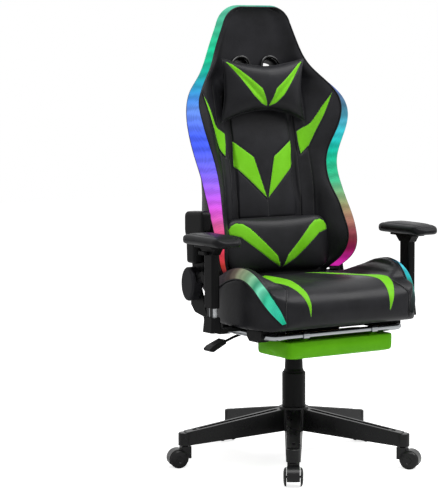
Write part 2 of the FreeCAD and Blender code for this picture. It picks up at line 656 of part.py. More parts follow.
def arm_button():
    """Push button on the outer face of the sleeve; pressed inwards it frees the post."""
    face = POST_X + POST_WIDE / 2 + SLEEVE_WALL
    stem = rod(5.15, (face - 0.8, POST_Y, 594), (face + 5, POST_Y, 594))
    cap = plate_z(5, 16, face + 10, POST_Y + 8, 590, 599, 3)
    return stem.fuse(cap).removeSplitter()


def arm_pad():
    """Moulded pad: an arched top, drooping ends and soft edges all round."""
    low = SLEEVE_TOP + 8
    y0, y1 = ARMPAD_FRONT, ARMPAD_REAR
    mid = (y0 + y1) / 2
    top = curve([(0, y0, low + 7), (0, y0 + 8, low + 13), (0, y0 + 34, ARMPAD_TOP - 4), (0, mid, ARMPAD_TOP),
                 (0, y1 - 34, ARMPAD_TOP - 3), (0, y1 - 8, low + 14), (0, y1, low + 8)])
    under = [(0, y1, low + 8), (0, y1 - 14, low), (0, y0 + 14, low), (0, y0, low + 7)]
    wire = Part.Wire([top] + [line(a, b) for a, b in zip(under[:-1], under[1:])])
    side = Part.Face(wire).extrude(Vector(2 * ARMPAD_HALF, 0, 0))
    side = side.translated(Vector(POST_X - ARMPAD_HALF, 0, 0))
    plan = plate_z(ARMPAD_HALF, (y1 - y0) / 2, POST_X, mid, low - 5, ARMPAD_TOP + 5, ARMPAD_HALF - 3)
    dome = curve([(POST_X - ARMPAD_HALF, 0, low + 10), (POST_X - ARMPAD_HALF + 4, 0, low + 17),
                  (POST_X - 20, 0, ARMPAD_TOP - 1), (POST_X, 0, ARMPAD_TOP + 1), (POST_X + 20, 0, ARMPAD_TOP - 1),
                  (POST_X + ARMPAD_HALF - 4, 0, low + 17), (POST_X + ARMPAD_HALF, 0, low + 10)])
    base = [(POST_X + ARMPAD_HALF, 0, low + 10), (POST_X + ARMPAD_HALF - 8, 0, low),
            (POST_X - ARMPAD_HALF + 8, 0, low), (POST_X - ARMPAD_HALF, 0, low + 10)]
    wire = Part.Wire([dome] + [line(a, b) for a, b in zip(base[:-1], base[1:])])
    across = Part.Face(wire).extrude(Vector(0, y1 - y0 + 20, 0)).translated(Vector(0, y0 - 10, 0))
    return side.common(plan).common(across)


# ---------------------------------------------------------------- recliner
PLATE_X = HINGE_ARM_X + HINGE_ARM_THICK + 1      # inner face of a seat-side recliner plate
STACK_X = PLATE_X + HINGE_PLATE_THICK            # outer face of that plate
GEAR_THICK = 12.0
LEVER_X = STACK_X + GEAR_THICK + 1               # inner face of the recline lever
LEVER_THICK = 3.0


def on_pivot(points):
    """(y, z) points given from the recliner axis."""
    return [(PIVOT_Y + y, PIVOT_Z + z) for y, z in points]


def oval(x0, x1):
    """Upright oval about the recliner axis."""
    face = Part.Face(Part.Wire([Part.Ellipse(Vector(0, 0, 0), OVAL_HALF_Z, OVAL_HALF_Y).toShape()]))
    face.Placement = Placement(Vector(x0, PIVOT_Y, PIVOT_Z), Rotation(Vector(0, 1, 0), 90))
    return face.extrude(Vector(x1 - x0, 0, 0))


def recliner_plate():
    """Seat-side plate: an upright tongue from the rail's outrigger to the pivot."""
    tongue = prism_x([(70, 386), (84, 386), (88, 403), (132, 411), (152, 430), (152, PIVOT_Z - 8),
                      (PIVOT_Y - 26, PIVOT_Z - 8), (70, 402)], PLATE_X, STACK_X)
    eye = rod_x(27, PLATE_X, STACK_X, PIVOT_Y, PIVOT_Z)
    outrigger = box(RAIL_X + RAIL_SIZE / 2, STACK_X, 70, 84, 386, 392)
    return fused([tongue, eye, outrigger]).cut(rod_x(PIVOT_PIN_R + RUN, 150, 300, PIVOT_Y, PIVOT_Z))


def hinge_arm(top):
    """Back-side arm: a flat bar that turns on the pivot and runs up beside the back."""
    x0, x1 = HINGE_ARM_X, HINGE_ARM_X + HINGE_ARM_THICK
    upright = prism_x(on_pivot([(-21, 0), (18, 0), (28, 60)]) + [(PIVOT_Y + 26, 590), (122, top), (96, top)]
                      + on_pivot([(-33, 60), (-31, 26)]), x0, x1)
    return fused([upright, rod_x(22, x0, x1, PIVOT_Y, PIVOT_Z)])


def back_frame():
    """Tube hoop inside the back, lower cross tube on the recliner axis, the two arms and pins."""
    cross = rod_x(PIVOT_PIN_R + 4, -HINGE_ARM_X, HINGE_ARM_X, PIVOT_Y, PIVOT_Z)
    half = [(168, 144, 556), (150, 166, 760), (104, 196, 1000), (92, 206, 1120), (64, 211, 1168)]
    hoop = bent_rod(mirrored(half), 9, 24)
    stub = rod_x(9, 160, HINGE_ARM_X + 1, 144, 572)
    pin_left = rod_x(PIVOT_PIN_R, HINGE_ARM_X + 1, STACK_X, PIVOT_Y, PIVOT_Z)
    pin_right = rod_x(PIVOT_PIN_R, -LEVER_X - LEVER_THICK - 1, -HINGE_ARM_X - 1, PIVOT_Y, PIVOT_Z)
    return fused([cross, hoop, hinge_arm(606), mirror_x(hinge_arm(684)), stub, mirror_x(stub), pin_left, pin_right])


def recliner_gear():
    """Gear disc on the outside of the right-hand plate."""
    disc = rod_x(24, -STACK_X - GEAR_THICK, -STACK_X, PIVOT_Y, PIVOT_Z)
    step = rod_x(18, -STACK_X - GEAR_THICK - 1, -STACK_X - GEAR_THICK + 2, PIVOT_Y, PIVOT_Z)
    ring = step.cut(rod_x(14, -STACK_X - GEAR_THICK - 2, -STACK_X - GEAR_THICK, PIVOT_Y, PIVOT_Z))
    return disc.cut(ring).cut(rod_x(PIVOT_PIN_R + RUN, -400, 0, PIVOT_Y, PIVOT_Z))


def recliner_cover_right():
    """Hollow oval cover over the gear, slotted at the front for the lever."""
    x0 = STACK_X + 0.2
    shell = oval(x0, COVER_RIGHT_X)
    shell = shell.makeFillet(7, [e for e in shell.Edges if abs(e.CenterOfMass.x - COVER_RIGHT_X) < 0.1])
    room = rod_x(27, x0 - 1, COVER_RIGHT_X - 2.5, PIVOT_Y, PIVOT_Z)
    slot = prism_x(on_pivot([(0, 4), (0, 30), (-50, 46), (-50, 8)]), LEVER_X - 0.6, LEVER_X + LEVER_THICK + 0.6)
    return mirror_x(shell.cut(room).cut(slot))


def recliner_cover_left():
    """Thin leaf over the left-hand pivot and arm; it turns with the back."""
    x0 = STACK_X + 0.2
    leaf = prism_x(on_pivot([(-30, 0), (30, 0), (31, 40), (26, 108), (16, 116), (-2, 116), (-14, 70)]), x0,
                   COVER_LEFT_X)
    body = leaf.fuse(rod_x(30, x0, COVER_LEFT_X, PIVOT_Y, PIVOT_Z)).removeSplitter()
    boss = box(HINGE_ARM_X + HINGE_ARM_THICK, x0 + 1, PIVOT_Y + 2, PIVOT_Y + 20, PIVOT_Z + 84, PIVOT_Z + 100)
    return body.fuse(boss).removeSplitter()


def arm_cover():
    """Cover of the right-hand back arm: wide head above a narrow neck, open towards the arm."""
    x0, x1, wall = HINGE_ARM_X + HINGE_ARM_THICK + 0.1, 262.0, 3.0
    ring = [(86, 548), (128, 548), (130, 612), (138, 632), (138, 684), (44, 690), (44, 636), (84, 612)]
    head = rounded(prism_x(ring, x0, x1), 12, 0, lambda mid: mid.z > 600)
    head = head.makeFillet(5, [e for e in head.Edges if abs(e.CenterOfMass.x - x1) < 0.1])
    room = [(86 + wall, 548 + wall), (128 - wall, 548 + wall), (130 - wall, 618), (130 - wall, 676),
            (58, 680), (58, 640), (86 + wall, 618)]
    relief = prism_z([(228, 30), (235.8, 30), (235.8, 84), (234, 92), (230, 101), (228, 106)], 500, 700)
    return mirror_x(head.cut(prism_x(room, x0 - 1, x1 - wall)).cut(relief))


# ---------------------------------------------------------------- back
def back_section(station):
    """Closed horizontal section of the back at one height."""
    z, w, yo, wi, yi, yf, yr, wr, yrc = station
    fold = min(FOLD_X, 0.76 * wi)
    drop, run = yf - yi, wi - fold
    front = [(0, yf, z), (0.5 * fold, yf, z), (0.94 * fold, yf - 0.05 * drop, z),
             (fold + 0.3 * run, yf - 0.46 * drop, z), (fold + 0.64 * run, yf - 0.82 * drop, z), (wi, yi, z)]
    left = [(-x, y, z) for x, y, z in reversed(front[1:])]
    rear = [(w, yo, z), (wr, yrc, z), (0.62 * wr, yr - 0.18 * (yr - yrc), z), (0, yr, z)]
    rear_other = [(-x, y, z) for x, y, z in reversed(rear[:-1])]
    return Part.Wire([curve(left + front), line((wi, yi, z), (w, yo, z)), curve(rear + rear_other),
                      line((-w, yo, z), (-wi, yi, z))])


def head_outline(grow):
    """Rounded head of the back in front view, as a solid along Y."""
    low, top = 1190.0, BACK_TOP + grow
    ring = [(-108 - grow, low), (108 + grow, low), (91 + grow, top), (-91 - grow, top)]
    return rounded(prism_y(ring, 60, 320), TOP_CORNER_R + grow, 1, lambda mid: mid.z > low + 1)


def slot_outline(grow):
    """Harness slot on the sitter's left in front view, as (x, z) corners."""
    return [(SLOT_INNER_X - grow, SLOT_LOW_Z - grow), (SLOT_LOW_X + grow, SLOT_LOW_Z - grow),
            (SLOT_TOP_X + grow, SLOT_TOP_Z + grow), (SLOT_INNER_X - grow, SLOT_TOP_Z + grow)]


def slot_solid(grow, y0=80, y1=320):
    return rounded(prism_y(slot_outline(grow), y0, y1), 9 + grow, 1)


def back_body():
    body = Part.makeLoft([back_section(s) for s in BACK_STATIONS], True, False)
    cap = box(-300, 300, 50, 330, 1190, 1300).cut(head_outline(0.0))
    barrel = rod_x(BARREL_R, -180, 180, PIVOT_Y, PIVOT_Z)
    barrel = barrel.makeFillet(12, [e for e in barrel.Edges if e.Curve.TypeId == "Part::GeomCircle"])
    return body.cut(cap).fuse(barrel)


def back_pad():
    body = back_body().cut(slot_solid(SLOT_LINER)).cut(mirror_x(slot_solid(SLOT_LINER)))
    for sink in (speaker_basket(SPEAKER_R + EPS, 9, 40), mirror_x(speaker_basket(SPEAKER_R + EPS, 9, 40))):
        body = body.cut(sink)
    return body.cut(back_led()).cut(back_frame())


def slot_liners():
    """Plastic liners of the harness slots, flush with front and rear of the back."""
    slab = prism_x([(179, 990), (189, 1110), (SLOT_REAR, 1110), (SLOT_REAR, 990)], -120, 120)
    liner = slot_solid(SLOT_LINER).cut(slot_solid(0.0)).common(slab)
    return both_sides(liner)


def rim_quads(stations):
    """Sections of the light strip on the rim of the back, sitter's left."""
    wires = []
    for z, w, yo, wi, yi, *_ in stations:
        a, b = Vector(wi, yi, z), Vector(w, yo, z)
        across = (b - a).normalize()
        normal = Vector(across.y, -across.x, 0)
        low, high = normal * LED_GAP, normal * (LED_GAP + LED_THICK)
        ring = [a + low, b + low, b + high, a + high]
        wires.append(Part.makePolygon(ring + ring[:1]))
    return wires


def back_led():
    side = Part.makeLoft(rim_quads(BACK_STATIONS), True, False)
    side = side.cut(box(-300, 300, 0, 400, 1190, 1300)).cut(box(-300, 300, 0, 400, 400, 520))
    ring = head_outline(LED_GAP + LED_THICK).cut(head_outline(LED_GAP))
    arch = ring.common(box(-300, 300, 178.5, 217.5, 1190, 1300))
    return fused([side, mirror_x(side), arch])


SPEAKER_AT = Vector(186, 151, 930)
SPEAKER_AXIS = Vector(0.467, 0.857, -0.216)
SPEAKER_R = 38.0


def speaker_basket(radius, back, front):
    """Cylinder on the speaker's axis, from behind its seat on the wing to in front of it."""
    return Part.makeCylinder(radius, back + front, SPEAKER_AT - SPEAKER_AXIS * back, SPEAKER_AXIS)


def speaker():
    """Round speaker let into the rear of a shoulder wing: rim, dished cone and dome."""
    rim = speaker_basket(SPEAKER_R, 9, 6)
    rim = rim.makeFillet(3, [e for e in rim.Edges if e.CenterOfMass.distanceToPoint(
        SPEAKER_AT + SPEAKER_AXIS * 6) < 0.1])
    dish = Part.makeCone(14, 31, 8, SPEAKER_AT - SPEAKER_AXIS * 1.5, SPEAKER_AXIS)
    dome = Part.makeSphere(20, SPEAKER_AT - SPEAKER_AXIS * 15).common(speaker_basket(13, 4, 20))
    return rim.cut(dish).fuse(dome).removeSplitter()


# ---------------------------------------------------------------- pillows
def head_pillow():
    plan = curve([(-137, 146, 0), (-90, 126, 0), (0, 118, 0), (90, 126, 0), (137, 146, 0)])
    rear = curve([(137, 146, 0), (90, 162, 0), (0, 166, 0), (-90, 162, 0), (-137, 146, 0)])
    slab = Part.Face(Part.Wire([plan, rear])).extrude(Vector(0, 0, 400)).translated(Vector(0, 0, 800))
    ring = [(-138, 920), (-70, 940), (0, 948), (70, 940), (138, 920), (131, 1094), (60, 1078), (0, 1070),
            (-60, 1078), (-131, 1094)]
    return slab.common(prism_y(ring, 60, 260))


def head_strap():
    """Elastic band from the pillow through both harness slots and round behind."""
    z0, z1, thick = 1016.0, 1046.0, 2.0
    rear = SLOT_REAR + 0.4
    band = bar(45, rear, rear + thick, z0, z1)
    legs = [box(x - thick / 2, x + thick / 2, 166.2, rear + thick, z0, z1) for x in (-44, 44)]
    return fused([band] + legs)


def lumbar_pillow():
    """Cushion bowed forward, with its rear face leaning like the back."""
    front = curve([(-158, 66, 0), (-120, 59, 0), (0, 54, 0), (120, 59, 0), (158, 66, 0)])
    rear = curve([(158, 70, 0), (140, 82, 0), (100, 99, 0), (0, 122, 0), (-100, 99, 0), (-140, 82, 0),
                  (-158, 70, 0)])
    ends = [line((158, 66, 0), (158, 70, 0)), line((-158, 70, 0), (-158, 66, 0))]
    slab = Part.Face(Part.Wire([front, ends[0], rear, ends[1]])).extrude(Vector(0, 0, 300))
    slab = slab.translated(Vector(0, 0, 450))
    face = prism_y([(-150, 514), (150, 514), (160, 600), (160, 640), (148, 664), (-148, 664), (-160, 640),
                    (-160, 600)], 0, 200)
    lean = prism_x([(30, 500), (82, 500), (86, 514), (99, 528), (107, 545), (118, 680), (30, 680)], -200, 200)
    return slab.common(face).common(lean)


# ---------------------------------------------------------------- recline lever, sitter's right
def recline_lever_bar():
    """Cranked flat lever whose eye turns on the pivot pin inside the cover."""
    arm = on_pivot([(0, -8), (0, 8), (-56, 38), (-66, 37), (-92, 16), (-86, 8), (-62, 26), (-54, 25)])
    bar_x = prism_x(arm, LEVER_X, LEVER_X + LEVER_THICK)
    eye = rod_x(14, LEVER_X, LEVER_X + LEVER_THICK, PIVOT_Y, PIVOT_Z)
    return mirror_x(fused([bar_x, eye]).cut(rod_x(PIVOT_PIN_R + RUN, 200, 300, PIVOT_Y, PIVOT_Z)))


def recline_lever_grip():
    ring = on_pivot([(-72, 32), (-78, 36), (-104, 16), (-104, 6), (-94, 0), (-70, 20)])
    grip = rounded(prism_x(ring, LEVER_X + 2.2, LEVER_X + LEVER_THICK + 11), 3, 0)
    return mirror_x(grip).cut(recline_lever_bar())


def main():
    os.makedirs(PARTS, exist_ok=True)
    save("star_base", star_base())
    save_castors()
    save("gas_cylinder", gas_cylinder())
    save("cover_lower", cover_lower())
    save("cover_upper", cover_upper())
    save("piston_rod", piston_rod())
    save("mechanism_housing", mechanism_housing())
    save("tilt_pin", tilt_pin())
    save("tilt_spring", tilt_spring())
    save("mechanism_plate", mechanism_plate())
    save("lift_lever_rod", lift_lever_rod())
    save("lift_lever_paddle", lift_lever_paddle())
    save("seat_frame", seat_frame())
    save("seat_pan", seat_pan())
    save("seat_cushion", seat_cushion())
    save("seat_led_left", seat_led())
    save("seat_led_right", mirror_x(seat_led()))
    save("footrest_frame", footrest_frame())
    save("footrest_guides", footrest_guides())
    save("footrest_board", footrest_board())
    save("footrest_pad", footrest_pad())
    save("arm_brackets", both_sides(arm_bracket()))
    save("arm_boots", both_sides(arm_boot()))
    save("arm_posts", both_sides(post_bar(0.0)))
    for side, turn in (("left", lambda s: s), ("right", mirror_x)):
        save(f"arm_sleeve_{side}", turn(arm_sleeve()))
        save(f"arm_button_{side}", turn(arm_button()))
        save(f"arm_pad_{side}", turn(arm_pad()))
    save("recliner_plates", both_sides(recliner_plate()))
    save("recliner_gear", recliner_gear())
    save("recliner_cover_left", recliner_cover_left())
    save("recliner_cover_right", recliner_cover_right())
    save("back_arm_cover", arm_cover())
    save("back_frame", back_frame())
    save("back_pad", back_pad())
    save("slot_liners", slot_liners())
    save("back_led", back_led())
    save("speaker_left", speaker())
    save("speaker_right", mirror_x(speaker()))
    save("head_pillow", head_pillow())
    save("head_strap", head_strap())
    save("lumbar_pillow", lumbar_pillow())
    save("recline_lever_bar", recline_lever_bar())
    save("recline_lever_grip", recline_lever_grip())


main()
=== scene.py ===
# %% [markdown]
# # An office chair in racing style, with light strips and a pull-out footrest
#
# This lesson dresses a finished mechanical model of the chair. The model is already drawn to size:
# star base, gas lift, tilt mechanism, seat frame, armrests, recliner and footrest tubes. What it
# lacks is everything an upholsterer adds. So the lesson makes the leather, the foam and the seams,
# sews in the green panels, and lights the strips that run round the back and along the seat.
# The chair's pieces are written in millimetres, and turned to metres where a mesh is made. The
# studio and the shaders are in metres.

import math

import bmesh
import bpy
import numpy as np
from mathutils import Matrix, Vector, kdtree
from mathutils.bvhtree import BVHTree


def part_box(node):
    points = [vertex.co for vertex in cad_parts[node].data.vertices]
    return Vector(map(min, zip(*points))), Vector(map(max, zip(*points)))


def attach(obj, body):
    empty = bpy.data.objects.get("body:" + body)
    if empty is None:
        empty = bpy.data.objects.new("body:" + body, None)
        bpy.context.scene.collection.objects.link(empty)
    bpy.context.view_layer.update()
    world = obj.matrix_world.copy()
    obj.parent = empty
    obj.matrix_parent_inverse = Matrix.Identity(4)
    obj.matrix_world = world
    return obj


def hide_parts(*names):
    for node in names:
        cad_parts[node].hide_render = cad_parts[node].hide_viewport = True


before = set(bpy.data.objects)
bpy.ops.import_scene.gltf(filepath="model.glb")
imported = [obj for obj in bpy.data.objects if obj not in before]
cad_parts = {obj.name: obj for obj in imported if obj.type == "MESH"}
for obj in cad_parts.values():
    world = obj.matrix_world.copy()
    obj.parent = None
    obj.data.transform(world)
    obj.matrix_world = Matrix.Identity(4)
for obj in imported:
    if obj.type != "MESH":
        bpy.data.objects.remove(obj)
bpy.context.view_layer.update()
MM = 0.001

# %% [markdown]
# ## Small helpers for materials
# Colours are picked as sRGB hex values, as on a colour card, but the shaders calculate with linear
# light, so one function converts them. A second one adds a shader node together with its settings
# and links, and a third starts a material. Two short ones link a socket and fill a colour ramp.
# Every finish below is built from these, and so are the shaders of the world and the floor.

# %% Colours, nodes and materials


def linear(code):
    """An opaque sRGB hex colour as the linear RGBA that shaders use."""
    parts = [int(code[i:i + 2], 16) / 255 for i in (1, 3, 5)]
    return [c / 12.92 if c <= 0.04045 else ((c + 0.055) / 1.055) ** 2.4 for c in parts] + [1.0]


def add(owner, kind, inputs=None, **settings):
    """Adds one shader node to a material or the world. An input is a constant or a linked output."""
    tree = owner.node_tree
    made = tree.nodes.new("ShaderNode" + kind)
    for name, value in settings.items():
        setattr(made, name, value)
    for name, value in (inputs or {}).items():
        if isinstance(value, bpy.types.NodeSocket):
            tree.links.new(value, made.inputs[name])
        else:
            made.inputs[name].default_value = value
    return made


def new_material(name, **constants):
    """A material and its main shader, with constant sockets set directly on the shader."""
    material = bpy.data.materials.new(name)
    material.use_nodes = True
    shader = material.node_tree.nodes["Principled BSDF"]
    for socket, value in constants.items():
        shader.inputs[socket.replace("_", " ")].default_value = value
    return material, shader


def connect(owner, output, socket):
    owner.node_tree.links.new(output, socket)


def stops(ramp, entries):
    """Fills a colour ramp from (position, hex colour) pairs."""
    elements = ramp.color_ramp.elements
    elements[0].position, elements[0].color = entries[0][0], linear(entries[0][1])
    elements[1].position, elements[1].color = entries[-1][0], linear(entries[-1][1])
    for position, code in entries[1:-1]:
        elements.new(position).color = linear(code)


print("mid grey in linear light:", round(linear("#808080")[0], 3))

# %% [markdown]
# ## Studio: camera, floor and light
# A product picture of a dark chair needs broad, soft light, so that leather and plastic show their
# shape in wide pale reflections and not in hot spots. Three large area lamps stand round the chair,
# and a pale world fills the shadows. The background is white because of its colour, not because of
# extra light: camera, mirror and glass rays see a plain white world, and all other rays a soft grey
# one. The floor is white paper that still takes the chair's shadow. It glows for camera and glass
# rays alone, so it hides its far edge but doesn't light the chair from below.

# %% Camera
EYE = Vector((-2.9214, -4.2488, 1.0905))
HEADING, PITCH = math.radians(-34.7), math.radians(5.63)
FOCAL, IMAGE_HEIGHT, SENSOR = 1913.0, 490.0, 36.0
# The chair stands off the middle of the view, so the lens is swung a little to the left and up.
SWING, LIFT = 81.0 / FOCAL, 3.0 / FOCAL

forward = Vector((-math.sin(HEADING) * math.cos(PITCH), math.cos(HEADING) * math.cos(PITCH),
                  -math.sin(PITCH)))
rightward = forward.cross(Vector((0, 0, 1))).normalized()
upward = rightward.cross(forward)
aim = (forward - rightward * SWING + upward * LIFT).normalized()
level = aim.cross(upward).normalized()
camera_data = bpy.data.cameras.new("camera")
camera_data.sensor_width = SENSOR
camera_data.lens = FOCAL / IMAGE_HEIGHT * SENSOR
camera = bpy.data.objects.new("camera", camera_data)
camera.matrix_world = (Matrix.Translation(EYE)
                       @ Matrix((level, level.cross(aim), -aim)).transposed().to_4x4())
bpy.context.collection.objects.link(camera)
bpy.context.scene.camera = camera
print("lens:", round(camera_data.lens, 1), "mm")

# %% World
WHITE = (1, 1, 1, 1)
SHADOW_FILL = 0.3

scene = bpy.context.scene
scene.view_settings.view_transform = "Standard"
world = bpy.data.worlds.new("studio")
scene.world = world
world.use_nodes = True


def rays(owner, *kinds):
    """1 for a ray of one of these kinds, 0 for every other ray."""
    path = add(owner, "LightPath")
    chosen = path.outputs[kinds[0]]
    for kind in kinds[1:]:
        chosen = add(owner, "Math", {0: chosen, 1: path.outputs[kind]}, operation="MAXIMUM").outputs[0]
    return chosen


grey = world.node_tree.nodes["Background"]
grey.inputs["Color"].default_value = WHITE
grey.inputs["Strength"].default_value = SHADOW_FILL
plain = add(world, "Background", {"Color": WHITE})
pick = add(world, "MixShader", {0: rays(world, "Is Camera Ray", "Is Glossy Ray", "Is Transmission Ray"),
                                1: grey.outputs[0], 2: plain.outputs[0]})
connect(world, pick.outputs[0], world.node_tree.nodes["World Output"].inputs["Surface"])
print("world fill:", SHADOW_FILL)

# %% Floor
FLOOR_HALF = 9.0
PAPER_GLOW = 0.78

corners = [(x * FLOOR_HALF, y * FLOOR_HALF, 0) for x, y in ((-1, -1), (1, -1), (1, 1), (-1, 1))]
floor_mesh = bpy.data.meshes.new("floor")
floor_mesh.from_pydata(corners, [], [(0, 1, 2, 3)])
floor = bpy.data.objects.new("floor", floor_mesh)
bpy.context.collection.objects.link(floor)
paper, paper_shader = new_material("studio paper", Roughness=0.9, Specular_IOR_Level=0.0,
                                   Base_Color=linear("#fbfbfb"))
strength = add(paper, "Math", {0: rays(paper, "Is Camera Ray", "Is Transmission Ray"), 1: PAPER_GLOW},
               operation="MULTIPLY")
glow = add(paper, "Emission", {"Color": WHITE, "Strength": strength.outputs[0]})
lit_paper = add(paper, "AddShader", {0: paper_shader.outputs[0], 1: glow.outputs[0]})
connect(paper, lit_paper.outputs[0], paper.node_tree.nodes["Material Output"].inputs["Surface"])
floor_mesh.materials.append(paper)
print("floor:", 2 * FLOOR_HALF, "m square")

# %% Lamps
# name, place, aim, size, watts
LAMPS = [("key", (-0.2, -1.2, 3.7), (0, 0, 0.7), 2.2, 105),
         ("fill", (1.9, -1.1, 2.9), (0, 0, 0.5), 1.6, 52),
         ("rim", (0.8, 2.8, 2.6), (0, 0, 0.9), 1.8, 8)]
for name, place, target, size, watts in LAMPS:
    lamp_data = bpy.data.lights.new(name, "AREA")
    lamp_data.size, lamp_data.energy = size, watts
    lamp = bpy.data.objects.new(name, lamp_data)
    lamp.location = place
    lamp.rotation_euler = (Vector(target) - Vector(place)).to_track_quat("-Z", "Y").to_euler()
    bpy.context.collection.objects.link(lamp)
print("lamps:", [entry[0] for entry in LAMPS])

# %% [markdown]
# ## Synthetic leather
# The covers are polyurethane leather: a woven backing with a skin that is embossed with a fine,
# rounded grain. The skin has the refraction of plastic (IOR 1.5) and a satin surface, so it shows
# soft highlights that the grain breaks up. The real grain is about 1 mm across, too fine to show at
# this size, so it is drawn at 3 mm. A slow, large pattern stands for the creases and the stretch
# that every sewn cover has.

# %% Synthetic leather, in charcoal and in lime
GRAIN_MM, PORE_MM, STRETCH_MM = 3.0, 1.6, 90


def leather(name, dark, light, roughness, shine):
    """Embossed synthetic leather: pebbled grain, slow stretch marks, slightly uneven colour."""
    material, shader = new_material(name, IOR=1.5, Specular_IOR_Level=shine)
    place = add(material, "TexCoord").outputs["Object"]
    grain = add(material, "TexVoronoi", {"Vector": place, "Scale": 1000 / GRAIN_MM},
                feature="SMOOTH_F1")
    pores = add(material, "TexNoise", {"Vector": place, "Scale": 1000 / PORE_MM, "Detail": 2.0})
    stretch = add(material, "TexNoise", {"Vector": place, "Scale": 1000 / STRETCH_MM, "Detail": 4.0,
                                         "Roughness": 0.6})
    tone = add(material, "ValToRGB", {"Fac": stretch.outputs["Fac"]})
    stops(tone, [(0.32, dark), (0.7, light)])
    connect(material, tone.outputs["Color"], shader.inputs["Base Color"])
    polish = add(material, "MapRange", {"Value": stretch.outputs["Fac"], "From Min": 0.3, "From Max": 0.7,
                                        "To Min": roughness - 0.05, "To Max": roughness + 0.07})
    connect(material, polish.outputs["Result"], shader.inputs["Roughness"])
    relief = add(material, "Bump", {"Height": grain.outputs["Distance"], "Strength": 0.22,
                                    "Distance": 0.0006})
    fine = add(material, "Bump", {"Height": pores.outputs["Fac"], "Strength": 0.12, "Distance": 0.0003,
                                  "Normal": relief.outputs["Normal"]})
    drape = add(material, "Bump", {"Height": stretch.outputs["Fac"], "Strength": 0.25, "Distance": 0.002,
                                   "Normal": fine.outputs["Normal"]})
    connect(material, drape.outputs["Normal"], shader.inputs["Normal"])
    return material


charcoal_leather = leather("charcoal synthetic leather", "#18181a", "#232326", 0.34, 0.125)
lime_leather = leather("lime synthetic leather", "#66b216", "#76c42a", 0.46, 0.08)
deep_lime_leather = leather("deep lime synthetic leather", "#56a40c", "#60ae14", 0.42, 0.07)
print("leathers:", charcoal_leather.name, "|", lime_leather.name)

# %% [markdown]
# ## Moulded plastics
# The star base and the castors are glass-filled nylon. It leaves the mould with a fine spark-eroded
# texture that scatters the light. Armrest pads are soft polyurethane, a little warmer and duller.
# Covers and guides are polypropylene with a leather-like mould texture, and the bezels of the
# harness slots are polished ABS. All have an IOR near 1.5 and differ in colour, texture and gloss.

# %% Moulded plastics
FLOW_MM = 60


def moulded(name, code, roughness, grit_mm, depth, coat=0.0, shine=0.1):
    """Injection-moulded plastic with an eroded mould texture and a little wear on its gloss."""
    material, shader = new_material(name, IOR=1.5, Specular_IOR_Level=shine, Coat_Weight=coat,
                                    Coat_Roughness=0.12)
    place = add(material, "TexCoord").outputs["Object"]
    grit = add(material, "TexNoise", {"Vector": place, "Scale": 1000 / grit_mm, "Detail": 3.0})
    flow = add(material, "TexNoise", {"Vector": place, "Scale": 1000 / FLOW_MM, "Detail": 3.0})
    shade = add(material, "HueSaturation", {"Color": linear(code)})
    vary = add(material, "MapRange", {"Value": flow.outputs["Fac"], "To Min": 0.85, "To Max": 1.15})
    connect(material, vary.outputs["Result"], shade.inputs["Value"])
    connect(material, shade.outputs["Color"], shader.inputs["Base Color"])
    rub = add(material, "MapRange", {"Value": flow.outputs["Fac"], "From Min": 0.3, "From Max": 0.7,
                                     "To Min": roughness - 0.04, "To Max": roughness + 0.06})
    connect(material, rub.outputs["Result"], shader.inputs["Roughness"])
    relief = add(material, "Bump", {"Height": grit.outputs["Fac"], "Strength": 0.3, "Distance": depth})
    connect(material, relief.outputs["Normal"], shader.inputs["Normal"])
    return material


black_nylon = moulded("glass-filled nylon", "#101011", 0.28, 1.5, 0.0002, shine=0.2)
wheel_nylon = moulded("castor nylon", "#141415", 0.28, 1.5, 0.0002, shine=0.22)
soft_urethane = moulded("armrest polyurethane", "#161618", 0.36, 2.0, 0.0004)
black_polypropylene = moulded("textured polypropylene", "#0a0a0b", 0.38, 2.0, 0.0003)
grey_polypropylene = moulded("grey polypropylene", "#222225", 0.42, 2.0, 0.0003)
polished_abs = moulded("polished ABS", "#0c0c0d", 0.12, 30.0, 0.0001, coat=0.5)
print("plastics: 6")

# %% [markdown]
# ## Metals
# The footrest tube and the gas lift's rod are chrome plated: nearly a mirror, with only a faint
# waviness from the drawn tube below. Frame and brackets are welded steel with a black powder coat,
# whose surface has the slight orange peel of melted powder. The posts of the armrests are ribbed
# bars, whose ribs are not modelled: bright stripes of painted highlight stand for the lit crests,
# and black stripes of painted shade for the grooves. Pins, spring and gear are zinc plated, with the
# cloudy grains of zinc.

# %% Chrome and powder coat
WAVE_MM, PEEL_MM, CLOUD_MM = 25, 4.0, 50

chrome, chrome_shader = new_material("chrome plate", Base_Color=linear("#9c9fa2"), Metallic=1.0)
place = add(chrome, "TexCoord").outputs["Object"]
wave = add(chrome, "TexNoise", {"Vector": place, "Scale": 1000 / WAVE_MM, "Detail": 2.0})
polish = add(chrome, "MapRange", {"Value": wave.outputs["Fac"], "To Min": 0.04, "To Max": 0.12})
connect(chrome, polish.outputs["Result"], chrome_shader.inputs["Roughness"])
ripple = add(chrome, "Bump", {"Height": wave.outputs["Fac"], "Strength": 0.05, "Distance": 0.0005})
connect(chrome, ripple.outputs["Normal"], chrome_shader.inputs["Normal"])

